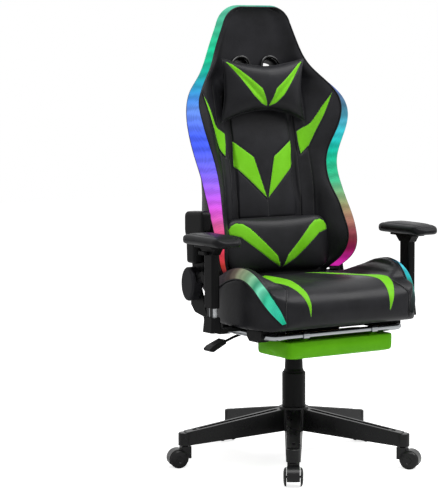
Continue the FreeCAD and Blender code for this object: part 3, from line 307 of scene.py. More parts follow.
powder_coat, coat_shader = new_material("black powder coat", Base_Color=linear("#090a0a"), IOR=1.5,
                                        Specular_IOR_Level=0.1)
place = add(powder_coat, "TexCoord").outputs["Object"]
peel = add(powder_coat, "TexNoise", {"Vector": place, "Scale": 1000 / PEEL_MM, "Detail": 2.0})
cloud = add(powder_coat, "TexNoise", {"Vector": place, "Scale": 1000 / CLOUD_MM, "Detail": 3.0})
rub = add(powder_coat, "MapRange", {"Value": cloud.outputs["Fac"], "To Min": 0.28, "To Max": 0.44})
connect(powder_coat, rub.outputs["Result"], coat_shader.inputs["Roughness"])
relief = add(powder_coat, "Bump", {"Height": peel.outputs["Fac"], "Strength": 0.15, "Distance": 0.0004})
connect(powder_coat, relief.outputs["Normal"], coat_shader.inputs["Normal"])
print("metals:", chrome.name, "|", powder_coat.name)

# %% Posts with painted rib highlights and painted shade, and zinc
RIB_PITCH = 0.016      # metres from rib to rib
RIB_START = 0.09       # one rib's crest lies this far in front of the swivel's axis
SCRATCH_MM, SPANGLE_MM = 3, 6.0

post_steel, post_shader = new_material("steel bar with painted rib light", Metallic=0.6)
place = add(post_steel, "TexCoord").outputs["Object"]
parts = add(post_steel, "SeparateXYZ", {"Vector": place})
ribs = add(post_steel, "Math", {0: parts.outputs["Y"], 1: 2 * math.pi / RIB_PITCH,
                                2: 2 * math.pi * RIB_START / RIB_PITCH}, operation="MULTIPLY_ADD")
crest = add(post_steel, "Math", {0: ribs.outputs[0]}, operation="COSINE")
# Painted highlight on each rib's crest and painted shade in each groove: a colour stripe made by a cosine
# across y, not geometry.
painted_rib_light = add(post_steel, "ValToRGB", {"Fac": crest.outputs[0]})
stops(painted_rib_light, [(0.45, "#0c0c0d"), (0.85, "#6d7073"), (0.99, "#c4c6c8")])
connect(post_steel, painted_rib_light.outputs["Color"], post_shader.inputs["Base Color"])
scratch = add(post_steel, "TexNoise", {"Vector": place, "Scale": 1000 / SCRATCH_MM, "Detail": 3.0})
rub = add(post_steel, "MapRange", {"Value": scratch.outputs["Fac"], "To Min": 0.25, "To Max": 0.4})
connect(post_steel, rub.outputs["Result"], post_shader.inputs["Roughness"])

zinc, zinc_shader = new_material("zinc plate", Metallic=1.0)
place = add(zinc, "TexCoord").outputs["Object"]
spangle = add(zinc, "TexVoronoi", {"Vector": place, "Scale": 1000 / SPANGLE_MM})
tint = add(zinc, "ValToRGB", {"Fac": spangle.outputs["Color"]})
stops(tint, [(0.1, "#85898d"), (0.9, "#a8acaf")])
connect(zinc, tint.outputs["Color"], zinc_shader.inputs["Base Color"])
dull = add(zinc, "MapRange", {"Value": spangle.outputs["Distance"], "To Min": 0.28, "To Max": 0.42})
connect(zinc, dull.outputs["Result"], zinc_shader.inputs["Roughness"])
print("metals:", post_steel.name, "|", zinc.name)

# %% [markdown]
# ## Mesh-covered light strips
# The strips are LED tapes behind a stretched polyester mesh. Each lamp makes a paler patch on the
# mesh, about every 28 mm, and the colours drift along the tape. Both are made from the place on the
# strip: a colour ramp runs with the height on the back, or with the depth on the seat, one for each
# side of the chair, and a wave makes the patches. The open mesh has 1 mm holes, drawn at 3 mm, and
# lets the light out in a diagonal grid.

# %% Colours along the light strips
# Pairs of the share of the way along the strip and the colour there. LEFT and RIGHT are the sides
# as the camera sees them.
LEFT_RUN = [(0.0, "#3a1420"), (0.03, "#b83830"), (0.08, "#dc3c50"), (0.14, "#dc4a78"),
            (0.186, "#d8599c"), (0.233, "#e256dc"), (0.279, "#c45cf4"), (0.326, "#a268ff"),
            (0.372, "#7e69fd"), (0.419, "#686ffd"), (0.465, "#4c63fc"), (0.512, "#4b68fe"),
            (0.558, "#6283fe"), (0.605, "#6893f3"), (0.651, "#4690e6"), (0.698, "#26a2ca"),
            (0.744, "#02ad9e"), (0.791, "#0cbf91"), (0.837, "#1bd09b"), (0.884, "#30c393"),
            (0.93, "#45bd95"), (1.0, "#58bd9c")]
RIGHT_RUN = [(0.0, "#d024a8"), (0.03, "#b41e88"), (0.06, "#8a1250"), (0.093, "#741e34"),
             (0.14, "#90484e"), (0.186, "#ac7c66"), (0.233, "#969266"), (0.279, "#7aae78"),
             (0.326, "#3dbc8a"), (0.372, "#1eb885"), (0.419, "#07bc93"), (0.465, "#0bbaaa"),
             (0.512, "#33c9d4"), (0.558, "#48a8c0"), (0.605, "#3c7890"), (0.651, "#4c6e92"),
             (0.7, "#4a5cb4"), (0.76, "#3c3f8c"), (0.84, "#3a3a6c"), (0.95, "#27584c"),
             (1.0, "#3fb096")]
SEAT_LEFT = [(0.0, "#18ad87"), (0.04, "#3bcfad"), (0.08, "#3fcaa1"), (0.11, "#33b78f"), (0.16, "#7adcb8"),
             (0.2, "#42a47d"), (0.26, "#88c098"), (0.31, "#738e6d"), (0.38, "#8e977a"), (0.44, "#6c6256"),
             (0.51, "#413632"), (0.6, "#302a2e"), (1.0, "#1e1c1e")]
SEAT_RIGHT = [(0.0, "#101616"), (0.03, "#232f2e"), (0.06, "#2c4a46"), (0.09, "#2d796d"),
              (0.12, "#0e8879"), (0.16, "#0dacaf"), (0.2, "#26bdc8"), (0.25, "#4fd4e7"),
              (0.3, "#3c9dbe"), (0.36, "#2f6c8c"), (0.45, "#1f3c50"), (0.6, "#161c24"),
              (1.0, "#101216")]
print("colours of the strips:", [len(run) for run in (LEFT_RUN, RIGHT_RUN, SEAT_LEFT, SEAT_RIGHT)])

# %% Light strip material
LAMP_PITCH = 0.028     # metres from one lamp of the tape to the next
LAMP_WANDER = 0.02     # how far the lamps stray from even spacing
WANDER_MM = 22         # size of the noise that makes them stray
HOLE_WAVE = 0.0056     # wavelength of each slanting row of threads, twice the pitch of the holes


def light_strip(name, sitters_left, sitters_right, along, low, high, strength):
    """Glowing mesh whose colour runs along one axis from low to high, in metres."""
    material, shader = new_material(name, Roughness=0.6, Specular_IOR_Level=0.05,
                                    Emission_Strength=strength)
    place = add(material, "TexCoord").outputs["Object"]
    parts = add(material, "SeparateXYZ", {"Vector": place})
    share = add(material, "MapRange", {"Value": parts.outputs[along], "From Min": low, "From Max": high})
    ramps = []
    for run in (sitters_right, sitters_left):
        ramp = add(material, "ValToRGB", {"Fac": share.outputs["Result"]})
        stops(ramp, run)
        ramps.append(ramp.outputs["Color"])
    half = add(material, "Math", {0: parts.outputs["X"], 1: 0.0}, operation="GREATER_THAN")
    colour = add(material, "MixRGB", {"Fac": half.outputs[0], "Color1": ramps[0], "Color2": ramps[1]})
    drift = add(material, "TexNoise", {"Vector": place, "Scale": 1000 / WANDER_MM, "Detail": 2.0})
    wander = add(material, "Math", {0: drift.outputs["Fac"], 1: LAMP_WANDER, 2: parts.outputs[along]},
                 operation="MULTIPLY_ADD")
    beat = add(material, "Math", {0: wander.outputs[0], 1: 2 * math.pi / LAMP_PITCH},
               operation="MULTIPLY")
    lamps = add(material, "Math", {0: beat.outputs[0]}, operation="SINE")
    patch = add(material, "MapRange", {"Value": lamps.outputs[0], "From Min": -1.0, "To Min": 0.84,
                                       "To Max": 1.12})
    pale = add(material, "MixRGB", {"Fac": 1.0, "Color1": colour.outputs["Color"],
                                    "Color2": patch.outputs["Result"]}, blend_type="MULTIPLY")
    thread = []
    for sign in (1, -1):
        slant = add(material, "Math", {0: parts.outputs["Y"], 1: float(sign), 2: parts.outputs["Z"]},
                    operation="MULTIPLY_ADD")
        turns = add(material, "Math", {0: slant.outputs[0], 1: 2 * math.pi / HOLE_WAVE},
                    operation="MULTIPLY")
        thread.append(add(material, "Math", {0: turns.outputs[0]}, operation="SINE").outputs[0])
    holes = add(material, "Math", {0: thread[0], 1: thread[1]}, operation="MULTIPLY")
    shade = add(material, "MapRange", {"Value": holes.outputs[0], "From Min": -1.0, "To Min": 0.85,
                                       "To Max": 1.1})
    final = add(material, "MixRGB", {"Fac": 1.0, "Color1": pale.outputs["Color"],
                                     "Color2": shade.outputs["Result"]}, blend_type="MULTIPLY")
    connect(material, final.outputs["Color"], shader.inputs["Emission Color"])
    dim = add(material, "MixRGB", {"Fac": 0.9, "Color1": final.outputs["Color"],
                                   "Color2": linear("#101012")})
    connect(material, dim.outputs["Color"], shader.inputs["Base Color"])
    relief = add(material, "Bump", {"Height": holes.outputs[0], "Strength": 0.3, "Distance": 0.0004})
    connect(material, relief.outputs["Normal"], shader.inputs["Normal"])
    return material


back_light = light_strip("lit mesh of the back", RIGHT_RUN, LEFT_RUN, "Z", low=0.52, high=1.235,
                         strength=0.92)
seat_light = light_strip("lit mesh of the seat", SEAT_RIGHT, SEAT_LEFT, "Y", low=-0.256, high=0.09,
                         strength=0.9)
print("light strips:", back_light.name, "|", seat_light.name)

# %% [markdown]
# ## Cloth, wood and speaker mesh
# Thread, elastic band and speaker cloth are woven or knitted, and show rows of loops. The real
# loops are under 1 mm, so they are drawn several times as coarse. The plywood pan is hidden under
# the seat, but a reader who turns the chair over sees it: birch veneer, with the grain drawn out
# along the board.

# %% Thread, elastic, speaker cloth and plywood
WAVE_TURN = 20         # radians through which the wave texture turns in one unit of its scale


def woven(name, code, radian_mm, depth):
    """Closely woven or knitted cloth: two crossed waves make its loops, one to 2 pi radians."""
    material, shader = new_material(name, Roughness=0.8, Sheen_Weight=0.15, Base_Color=linear(code))
    place = add(material, "TexCoord").outputs["Object"]
    waves = [add(material, "TexWave", {"Vector": place, "Scale": 1000 / (radian_mm * WAVE_TURN),
                                       "Distortion": 0.6}, bands_direction=axis).outputs["Fac"]
             for axis in ("DIAGONAL", "Z")]
    weave = add(material, "Math", {0: waves[0], 1: waves[1]}, operation="MULTIPLY")
    relief = add(material, "Bump", {"Height": weave.outputs[0], "Strength": 0.6, "Distance": depth})
    connect(material, relief.outputs["Normal"], shader.inputs["Normal"])
    return material


# The thread is near black partly as painted shade: the cord fills each seam's valley, where shade would lie.
thread_and_seam_shade = woven("nylon thread and painted seam shade", "#0b0b0c", 1.0, 0.0002)
elastic = woven("woven elastic", "#161617", 2.0, 0.0005)
speaker_cloth = woven("speaker cloth", "#101012", 2.4, 0.0006)

plywood, ply_shader = new_material("birch plywood", Roughness=0.6, IOR=1.5)
place = add(plywood, "TexCoord").outputs["Object"]
drawn = add(plywood, "Mapping", {"Vector": place, "Scale": (4, 60, 60)})
rings = add(plywood, "TexNoise", {"Vector": drawn.outputs["Vector"], "Scale": 4.0, "Detail": 5.0,
                                  "Distortion": 0.8})
birch = add(plywood, "ValToRGB", {"Fac": rings.outputs["Fac"]})
stops(birch, [(0.3, "#a67c4c"), (0.55, "#c39a67"), (0.75, "#d0ab7a")])
connect(plywood, birch.outputs["Color"], ply_shader.inputs["Base Color"])
relief = add(plywood, "Bump", {"Height": rings.outputs["Fac"], "Strength": 0.2, "Distance": 0.0004})
connect(plywood, relief.outputs["Normal"], ply_shader.inputs["Normal"])
print("cloths and wood: 4")

# %% [markdown]
# ## Finish the rigid parts of the model
# The rigid parts already have their true shape, so they only need the right material. A table says
# which finish each one gets. Parts that a soft piece replaces further down aren't in it.

# %% Give every rigid part its material
FINISH = {
    black_nylon: ["star_base"],
    wheel_nylon: [f"castor_{n}_{part}" for n in range(1, 6) for part in ("hood", "wheels")],
    chrome: ["piston_rod", "footrest_frame"],
    powder_coat: ["gas_cylinder", "mechanism_housing", "mechanism_plate", "lift_lever_rod", "seat_frame",
                  "arm_brackets", "recliner_plates", "back_frame", "recline_lever_bar"],
    zinc: ["tilt_pin", "tilt_spring", "recliner_gear"],
    black_polypropylene: ["cover_lower", "cover_upper", "lift_lever_paddle", "footrest_guides",
                          "arm_boots", "arm_sleeve_left", "arm_sleeve_right", "arm_button_left",
                          "arm_button_right", "recliner_cover_left", "recline_lever_grip"],
    grey_polypropylene: ["recliner_cover_right"],
    post_steel: ["arm_posts"],
    plywood: ["seat_pan"],
    elastic: ["head_strap"],
    speaker_cloth: ["speaker_left", "speaker_right"],
}
for material, names in FINISH.items():
    for name in names:
        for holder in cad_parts[name].material_slots:
            holder.material = material
print("rigid parts finished:", sum(len(names) for names in FINISH.values()))

# %% [markdown]
# ## Upholstery tools: smooth curves and closed shells
# Foam parts are given by a few measured sections, as a pattern maker would draw them. A natural
# cubic spline runs smoothly through those sections, in the same way as the lofts of the mechanical
# model, so leather and frame agree. Each shell is one closed grid of quads, because the cloth
# solver needs a closed skin to blow up.

# %% Splines and mesh pieces


def spline(knots, values, at):
    """Natural cubic spline through (knots, values), read at the given places."""
    knots, values, at = np.asarray(knots, float), np.asarray(values, float), np.asarray(at, float)
    gap, count = np.diff(knots), len(knots)
    system, right = np.eye(count), np.zeros_like(values)
    for i in range(1, count - 1):
        system[i, i - 1:i + 2] = gap[i - 1], 2 * (gap[i - 1] + gap[i]), gap[i]
        right[i] = 6 * ((values[i + 1] - values[i]) / gap[i] - (values[i] - values[i - 1]) / gap[i - 1])
    bend = np.linalg.solve(system, right)
    k = np.clip(np.searchsorted(knots, at) - 1, 0, count - 2)
    shape = (-1,) + (1,) * (values.ndim - 1)
    h, a = gap[k].reshape(shape), ((knots[k + 1] - at) / gap[k]).reshape(shape)
    b = 1 - a
    return a * values[k] + b * values[k + 1] + ((a**3 - a) * bend[k] + (b**3 - b) * bend[k + 1]) * h**2 / 6


def through(points, count):
    """A smooth curve through points, as evenly spaced points."""
    points = np.asarray(points, float)
    run = np.concatenate([[0], np.cumsum(np.linalg.norm(np.diff(points, axis=0), axis=1))])
    return spline(run, points, np.linspace(0, run[-1], count))


def piece(name, points, faces, body, slot, *materials):
    """A mesh from points in millimetres that moves with one body of the model."""
    mesh = bpy.data.meshes.new(name)
    mesh.from_pydata([tuple(float(c) * MM for c in p) for p in points], [], faces)
    for material in materials:
        mesh.materials.append(material)
    mesh.shade_smooth()
    thing = bpy.data.objects.new(name, mesh)
    bpy.context.collection.objects.link(thing)
    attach(thing, body)
    return thing


def tube_grid(rings, closed=True):
    """Quads between rings of equally many points."""
    count, faces = len(rings[0]), []
    for r in range(len(rings) - 1):
        for i in range(count if closed else count - 1):
            j = (i + 1) % count
            faces.append((r * count + i, r * count + j, (r + 1) * count + j, (r + 1) * count + i))
    return faces


def outward(thing):
    """Makes all face normals of a closed piece point outwards."""
    work = bmesh.new()
    work.from_mesh(thing.data)
    bmesh.ops.remove_doubles(work, verts=work.verts, dist=0.00005)
    bmesh.ops.recalc_face_normals(work, faces=work.faces)
    if work.calc_volume(signed=True) < 0:
        bmesh.ops.reverse_faces(work, faces=work.faces)
    work.to_mesh(thing.data)
    work.free()
    thing.data.update()


def applied(thing, kind, **settings):
    """Adds one modifier, applies it, and leaves a plain mesh."""
    modifier = thing.modifiers.new(kind.lower(), kind)
    for name, value in settings.items():
        setattr(modifier, name, value)
    with bpy.context.temp_override(object=thing, active_object=thing, selected_objects=[thing]):
        bpy.ops.object.modifier_apply(modifier=modifier.name)


print("a spline through 0, 1, 0 read halfway:", round(float(spline([0, 1, 2], [0, 1, 0], [0.5])[0]), 3))

# %% [markdown]
# ## Upholstery tools: foam and seams
# A sewn cover over foam is tight at its seams and swells between them. The cloth solver does that
# by itself: the vertices near the seams are pinned, the shell is put under pressure, and the panels
# puff up. Afterwards each vertex is held within a few millimetres of its pattern. Then the seams
# are pressed in as narrow valleys, so that a thread can lie in each.

# %% Puffing up a shell


def near(thing, lines, reach):
    """Distance in millimetres from each vertex to the nearest seam line, or reach if it is more."""
    dots = []
    for route in lines:
        for a, b in zip(route[:-1], route[1:]):
            a, b = Vector(a), Vector(b)
            steps = max(1, int((b - a).length / 1.5))
            dots += [a.lerp(b, k / steps) for k in range(steps)]
        dots.append(Vector(route[-1]))
    tree = kdtree.KDTree(len(dots))
    for i, dot in enumerate(dots):
        tree.insert(dot, i)
    tree.balance()
    return np.array([min(tree.find(v.co / MM)[2], reach) for v in thing.data.vertices])


PUFF_FRAMES = 14


def puff(thing, pinned, pressure, cap_mm):
    """Blows the shell up against its pinned vertices, and caps how far each vertex moves."""
    rest = np.array([v.co[:] for v in thing.data.vertices])
    group = thing.vertex_groups.new(name="pinned")
    for i in np.nonzero(pinned > 0)[0]:
        group.add([int(i)], float(pinned[i]), "REPLACE")
    cloth = thing.modifiers.new("cloth", "CLOTH")
    settings = cloth.settings
    settings.vertex_group_mass = "pinned"
    settings.use_pressure = True
    settings.uniform_pressure_force = pressure
    settings.effector_weights.gravity = 0
    settings.quality = 4
    settings.mass = 0.3
    settings.tension_stiffness = settings.compression_stiffness = 25
    settings.bending_stiffness = 1.5
    cloth.collision_settings.use_collision = False
    cloth.point_cache.frame_start, cloth.point_cache.frame_end = 1, PUFF_FRAMES
    for number in range(1, PUFF_FRAMES + 1):
        bpy.context.scene.frame_set(number)
    shape = thing.evaluated_get(bpy.context.evaluated_depsgraph_get()).to_mesh()
    moved = np.array([v.co[:] for v in shape.vertices]) - rest
    length = np.maximum(np.linalg.norm(moved, axis=1, keepdims=True), 1e-9)
    cap = cap_mm * MM
    moved *= cap * np.tanh(length / cap) / length
    thing.modifiers.remove(cloth)
    thing.vertex_groups.remove(group)
    bpy.context.scene.frame_set(1)
    for vertex, place in zip(thing.data.vertices, rest + moved):
        vertex.co = place
    thing.data.update()
    print(f"{thing.name}: puffed up by {float(length.max()) / MM:.1f} mm, capped at {cap_mm}")


def press_in(thing, lines, width, depth):
    """Presses a narrow valley along each seam line."""
    gap = near(thing, lines, width)
    normals = [v.normal.copy() for v in thing.data.vertices]
    for i in np.nonzero(gap < width)[0]:
        thing.data.vertices[i].co -= normals[i] * float(depth * MM * (1 - (gap[i] / width) ** 2) ** 2)
    thing.data.update()


print("tools: near, puff, press_in")

# %% [markdown]
# ## Upholstery tools: laying things on a surface
# Inlays, piping and threads follow the finished skin. A search tree of the skin's faces finds the
# point under each pattern point and the direction in which the skin faces there. An inlay is a
# piece of leather with its edges turned in: its rim dips below the skin and its middle stands
# slightly proud, which gives the crisp, shaded edge of a sewn-in panel.

# %% Skin lookup
MISS_DEPTH = 200       # millimetres along the line at which a miss looks for the nearest skin


class Skin:
    """The outside of a finished piece, for laying other things on it. Places are millimetres."""

    def __init__(self, thing):
        mesh = thing.data
        self.tree = BVHTree.FromPolygons([v.co / MM for v in mesh.vertices],
                                         [tuple(p.vertices) for p in mesh.polygons])
        self.faces = [tuple(p.vertices) for p in mesh.polygons]
        self.normals = [v.normal.copy() for v in mesh.vertices]
        self.spots = [v.co / MM for v in mesh.vertices]

    def facing(self, spot, index):
        """Direction the skin faces at a spot, blended over the face's corners."""
        total = Vector()
        for corner in self.faces[index]:
            total += self.normals[corner] / ((self.spots[corner] - spot).length + 0.5)
        return total.normalized()

    def drop(self, start, direction):
        """The spot hit from start along a direction, and the facing there."""
        start, direction = Vector(start), Vector(direction)
        spot, _, index, _ = self.tree.ray_cast(start, direction)
        if spot is None:
            return self.closest(start + direction * MISS_DEPTH)
        return spot, self.facing(spot, index)

    def closest(self, start):
        spot, _, index, _ = self.tree.find_nearest(Vector(start))
        return spot, self.facing(spot, index)


print("tool: Skin")

# %% Inlays and cords


def edge_distance(point, outline):
    """Distance from a flat point to a closed outline."""
    best = 1e9
    for a, b in zip(outline, outline[1:] + outline[:1]):
        ax, ay, dx, dy = a[0], a[1], b[0] - a[0], b[1] - a[1]
        share = ((point[0] - ax) * dx + (point[1] - ay) * dy) / (dx * dx + dy * dy + 1e-9)
        t = max(0.0, min(1.0, share))
        best = min(best, math.hypot(point[0] - ax - t * dx, point[1] - ay - t * dy))
    return best


def filled(outline, cell):
    """A flat outline filled with a grid of small faces: points and faces."""
    work = bmesh.new()
    work.faces.new([work.verts.new((u, v, 0)) for u, v in outline])
    bmesh.ops.triangulate(work, faces=work.faces[:])
    for axis, values in ((0, [p[0] for p in outline]), (1, [p[1] for p in outline])):
        plane = Vector((1, 0, 0)) if axis == 0 else Vector((0, 1, 0))
        for k in range(1, int((max(values) - min(values)) / cell) + 1):
            everything = work.verts[:] + work.edges[:] + work.faces[:]
            bmesh.ops.bisect_plane(work, geom=everything, plane_co=plane * (min(values) + k * cell),
                                   plane_no=plane, dist=0.02)
    bmesh.ops.triangulate(work, faces=[f for f in work.faces if len(f.verts) > 4])
    work.verts.index_update()
    points = [(v.co.x, v.co.y) for v in work.verts]
    faces = [tuple(v.index for v in f.verts) for f in work.faces]
    work.free()
    return points, faces


INLAY_PROUD, INLAY_RIM, INLAY_CELL = 1.0, 4.0, 4.0


def inlay(name, outline, lay, body, material, slot, dip):
    """A sewn-in panel: lay() puts each flat point on the skin and says how the skin faces there."""
    points, faces = filled(outline, INLAY_CELL)
    placed = []
    for point in points:
        spot, facing = lay(*point)
        inside = min(1.0, edge_distance(point, outline) / INLAY_RIM)
        placed.append(spot + facing * (-dip + (INLAY_PROUD + dip) * (1 - (1 - inside) ** 2.5)))
    thing = piece(name, placed, faces, body, slot, material)
    spot, facing = lay(*points[len(points) // 2])
    if thing.data.polygons[len(faces) // 2].normal.dot(facing) < 0:
        thing.data.flip_normals()


def bead(name, route, radius, body, material, slot, sides=8, closed=False):
    """A round cord, piping or rod along a route of points, with flat ends."""
    spots = [Vector(p) for p in route]
    rings, count = [], len(spots)
    up = Vector((0, 0, 1))
    for i, spot in enumerate(spots):
        after = spots[(i + 1) % count] if closed or i + 1 < count else spot
        before = spots[i - 1] if closed or i else spot
        along = (after - before).normalized()
        across = along.cross(up)
        if across.length <= 0.05:
            across = along.cross(Vector((1, 0, 0)))
        across.normalize()
        up = across.cross(along).normalized()
        rings.append([spot + (across * math.cos(a) + up * math.sin(a)) * radius
                      for a in (2 * math.pi * k / sides for k in range(sides))])
    if closed:
        rings.append(rings[0])
    faces = tube_grid(rings)
    if not closed:
        last = (count - 1) * sides
        faces += [tuple(reversed(range(sides))), tuple(range(last, last + sides))]
    return piece(name, [p for ring in rings for p in ring], faces, body, slot, material)


def lime_panel(part, outline, lay, body, dip=0.2, thread_depth=0.2, thread=0.9):
    """A lime inlay and the dark thread in the seam round it; the thread is also painted shade in that seam.
    """
    inlay(f"lime_{part}", outline, lay, body, lime_leather, "green_leather", dip)
    where = part.removeprefix("back_")
    route = [spot - facing * thread_depth for spot, facing in (lay(*point) for point in outline)]
    bead(f"edge_thread_and_shade_{where}", route, thread, body, thread_and_seam_shade, "leather", sides=6, closed=True)


print("tools: inlay, bead, lime_panel")

# %% [markdown]
# ## The back: a shell through its measured sections
# The back is drawn as horizontal sections. Each one is a flat middle, a side panel, a fold, a
# bolster that runs forward to the rim, the flat rim that carries the light strip, and a bowed rear.
# Below, the sections run into a round barrel, the lower end that turns inside the seat. Columns
# of the grid stand close together at the narrow channels between the middle panel and each side
# panel.

# %% Sections of the back
# height, half-width, rim y, inner rim half-width and y, front y, rear y, rear corner x and y
BACK = np.array([
    (508, 180, 64, 162, 84, 104, 186, 172, 135), (540, 211, 36, 189, 54, 112, 192, 196, 136),
    (580, 227, 22, 203, 34, 116, 196, 206, 137), (620, 231, 31, 202, 30, 119, 199, 207, 137),
    (660, 231, 49, 197, 44, 122, 201, 205, 141), (700, 228, 71, 191, 60, 124, 204, 199, 150),
    (740, 226, 93, 182, 82, 130, 208, 190, 161), (780, 226, 112, 179, 99, 137, 212, 183, 170),
    (820, 233, 124, 184, 109, 144, 216, 170, 176), (860, 246, 124, 198, 109, 151, 220, 160, 178),
    (900, 259, 119, 216, 103, 160, 225, 152, 180), (940, 265, 118, 229, 102, 169, 229, 149, 183),
    (980, 256, 129, 230, 110, 178, 232, 148, 190), (1010, 234, 147, 215, 120, 185, 233, 145, 197),
    (1040, 198, 172, 190, 138, 189, 234, 140, 205), (1070, 168, 194, 164, 156, 190, 234, 132, 212),
    (1110, 143, 210, 142, 171, 191, 234, 124, 219), (1150, 125, 215, 125, 176, 191, 234, 110, 223),
    (1190, 108, 217, 108, 178, 190, 233, 96, 225), (1233, 91, 218, 91, 179, 190, 231, 80, 226)], float)
FOLD = 145.0
CORNER_X, CORNER_Z, CORNER_R = 50.2, 1173.0, 60.0
BARREL_Y, BARREL_Z, BARREL_R = 128.0, 489.0, 47.5
INNER = list(range(0, 91, 9)) + [92.5, 95, 97.5, 104, 110.5, 113, 115.5, 121, 127, 133, 139, 145]
OUTER = [k / 13 for k in range(1, 14)]
HEIGHTS = ([442.2, 444.5, 448.5, 454, 460, 467, 475, 483, 491, 499, 507.5] + list(range(513, 1190, 6))
           + [1189, 1194, 1199, 1204, 1209, 1214, 1219, 1224, 1228, 1231, 1232.5, 1233])
RIM_POINTS = 5
BARREL_TOP, CROWN_START = 508, 1195
CHANNEL_SINK = {95: 4.0, 97.5: 8.0, 104: 8.0, 110.5: 8.0, 113: 4.0}
CHANNEL_FOOT, CHANNEL_TOP = (522, 542), (985, 1010)


def ramp(value, start, end):
    """0 before start, 1 after end, smooth between."""
    t = min(1.0, max(0.0, (value - start) / (end - start)))
    return t * t * (3 - 2 * t)


def back_row(z):
    """Half-width, rim y, inner rim x and y, front y, rear y, rear corner x and y at one height."""
    if z < BARREL_TOP:
        h = math.sqrt(BARREL_R**2 - (z - BARREL_Z)**2)
        return (180, BARREL_Y, 174, BARREL_Y - 0.85 * h, BARREL_Y - h, BARREL_Y + h, 174,
                BARREL_Y + 0.85 * h)
    w, yo, wi, yi, yf, yr, wr, yrc = spline(BACK[:, 0], BACK[:, 1:], [z])[0]
    if z > CROWN_START:
        w = min(w, CORNER_X + math.sqrt(max(0.0, CORNER_R**2 - (z - CORNER_Z)**2)))
    return w, yo, min(wi, w), yi, yf, yr, min(wr, w - 6), yrc


def front_curve(z):
    """The front of one section as a dense line of (x, y), left to right."""
    w, yo, wi, yi, yf, *_ = back_row(z)
    fold, drop = min(FOLD, 0.76 * wi), yf - yi
    half = [(0, yf), (0.5 * fold, yf), (0.94 * fold, yf - 0.05 * drop),
            (fold + 0.3 * (wi - fold), yf - 0.46 * drop), (fold + 0.64 * (wi - fold), yf - 0.82 * drop),
            (wi, yi)]
    return through([(-x, y) for x, y in reversed(half[1:])] + half, 240)


def front_points(z):
    """The front of one section at the grid's columns, with the two channels sunk in."""
    line, wi = front_curve(z), back_row(z)[2]
    fold = min(FOLD, 0.76 * wi)
    half = [x * fold / FOLD for x in INNER] + [fold + t * (wi - fold) for t in OUTER]
    depth = [CHANNEL_SINK.get(x, 0.0) for x in INNER] + [0.0] * len(OUTER)
    here = ramp(z, *CHANNEL_FOOT) * (1 - ramp(z, *CHANNEL_TOP))
    row = [(x, float(np.interp(x, line[:, 0], line[:, 1])) + d * here) for x, d in zip(half, depth)]
    if BARREL_TOP - 1 < z < BARREL_Z + BARREL_R:
        nose = BARREL_Y - math.sqrt(BARREL_R**2 - (z - BARREL_Z)**2)
        row = [(x, min(y, nose) if x < 172 else y) for x, y in row]
    return [(-x, y) for x, y in reversed(row[1:])] + row


def back_ring(z):
    """One closed section: front, sitter's left rim, rear, sitter's right rim."""
    w, yo, wi, yi, yf, yr, wr, yrc = back_row(z)
    front = front_points(z)
    rear = through([(w, yo), (wr, yrc), (0.62 * wr, yr - 0.18 * (yr - yrc)), (0, yr),
                    (-0.62 * wr, yr - 0.18 * (yr - yrc)), (-wr, yrc), (-w, yo)], len(front)).tolist()
    share = [(k + 1) / (RIM_POINTS + 1) for k in range(RIM_POINTS)]
    rim = [(front[-1][0] + (w - front[-1][0]) * t, front[-1][1] + (yo - front[-1][1]) * t) for t in share]
    return [(x, y, z) for x, y in front + rim + rear + [(-x, y) for x, y in reversed(rim)]]


rings = [back_ring(z) for z in HEIGHTS]
points = [p for ring in rings for p in ring]
faces = tube_grid(rings)
columns = 2 * (len(INNER) + len(OUTER)) - 1
for ring in (rings[0], rings[-1]):
    base = len(points)
    front, rear = ring[:columns], ring[columns + RIM_POINTS:2 * columns + RIM_POINTS][::-1]
    for k in range(RIM_POINTS + 2):
        t = k / (RIM_POINTS + 1)
        points += [tuple(a[i] + (b[i] - a[i]) * t for i in range(3)) for a, b in zip(front, rear)]
    faces += [tuple(base + n for n in face) for face in tube_grid([front] * (RIM_POINTS + 2), closed=False)]
back = piece("back_cushion", points, faces, "back", "leather", charcoal_leather)
outward(back)
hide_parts("back_pad")
print("back:", len(back.data.vertices), "vertices from", len(HEIGHTS), "sections")

# %% [markdown]
# ## Seams of the back
# The pattern has a middle panel with a cross seam above the lumbar cushion, two lime panels that
# meet in a V, and a long lime panel on each side that climbs over the fold to the shoulder. The
# lines are drawn in the front view, as x and z, and dropped on the shell. The covered foam then
# swells a few millimetres between them.

# %% Seam lines, puffing and valleys
CENTRE_PANEL = [(95.5, 868), (33, 824), (0.8, 709), (50, 756), (96.5, 799)]
SIDE_PANEL = [(215, 1003), (200, 983), (185, 962), (170, 936), (158, 916), (148, 907), (133, 899),
              (118, 890), (119, 860), (124, 827), (136, 838), (148, 850), (158, 872), (168, 896),
              (184, 930), (198, 962), (207, 984)]


def mirrored(outline):
    return [(-x, z) for x, z in outline]


PANEL_LINES = [CENTRE_PANEL + CENTRE_PANEL[:1], SIDE_PANEL + SIDE_PANEL[:1]]
PANEL_LINES += [mirrored(line) for line in PANEL_LINES]
PLAIN_LINES = [[(FOLD, 545), (FOLD, 845)], [(FOLD, 912), (FOLD, 1020)],
               [(95, 530), (95, 990)], [(113, 530), (113, 990)]]
PLAIN_LINES += [mirrored(line) for line in PLAIN_LINES]
PLAIN_LINES += [[(-94, 657), (94, 657)], [(0, 657), (0, 708)]]
REAR_LINES = [[(93, 1040), (93, 923), (104, 850), (120, 740), (137, 648), (140, 560)]]
REAR_LINES += [mirrored(REAR_LINES[0]), [(-90, 905), (90, 905)]]


POINT_GAP = 6.0
BEFORE_CHAIR, BEHIND_CHAIR = -140, 340


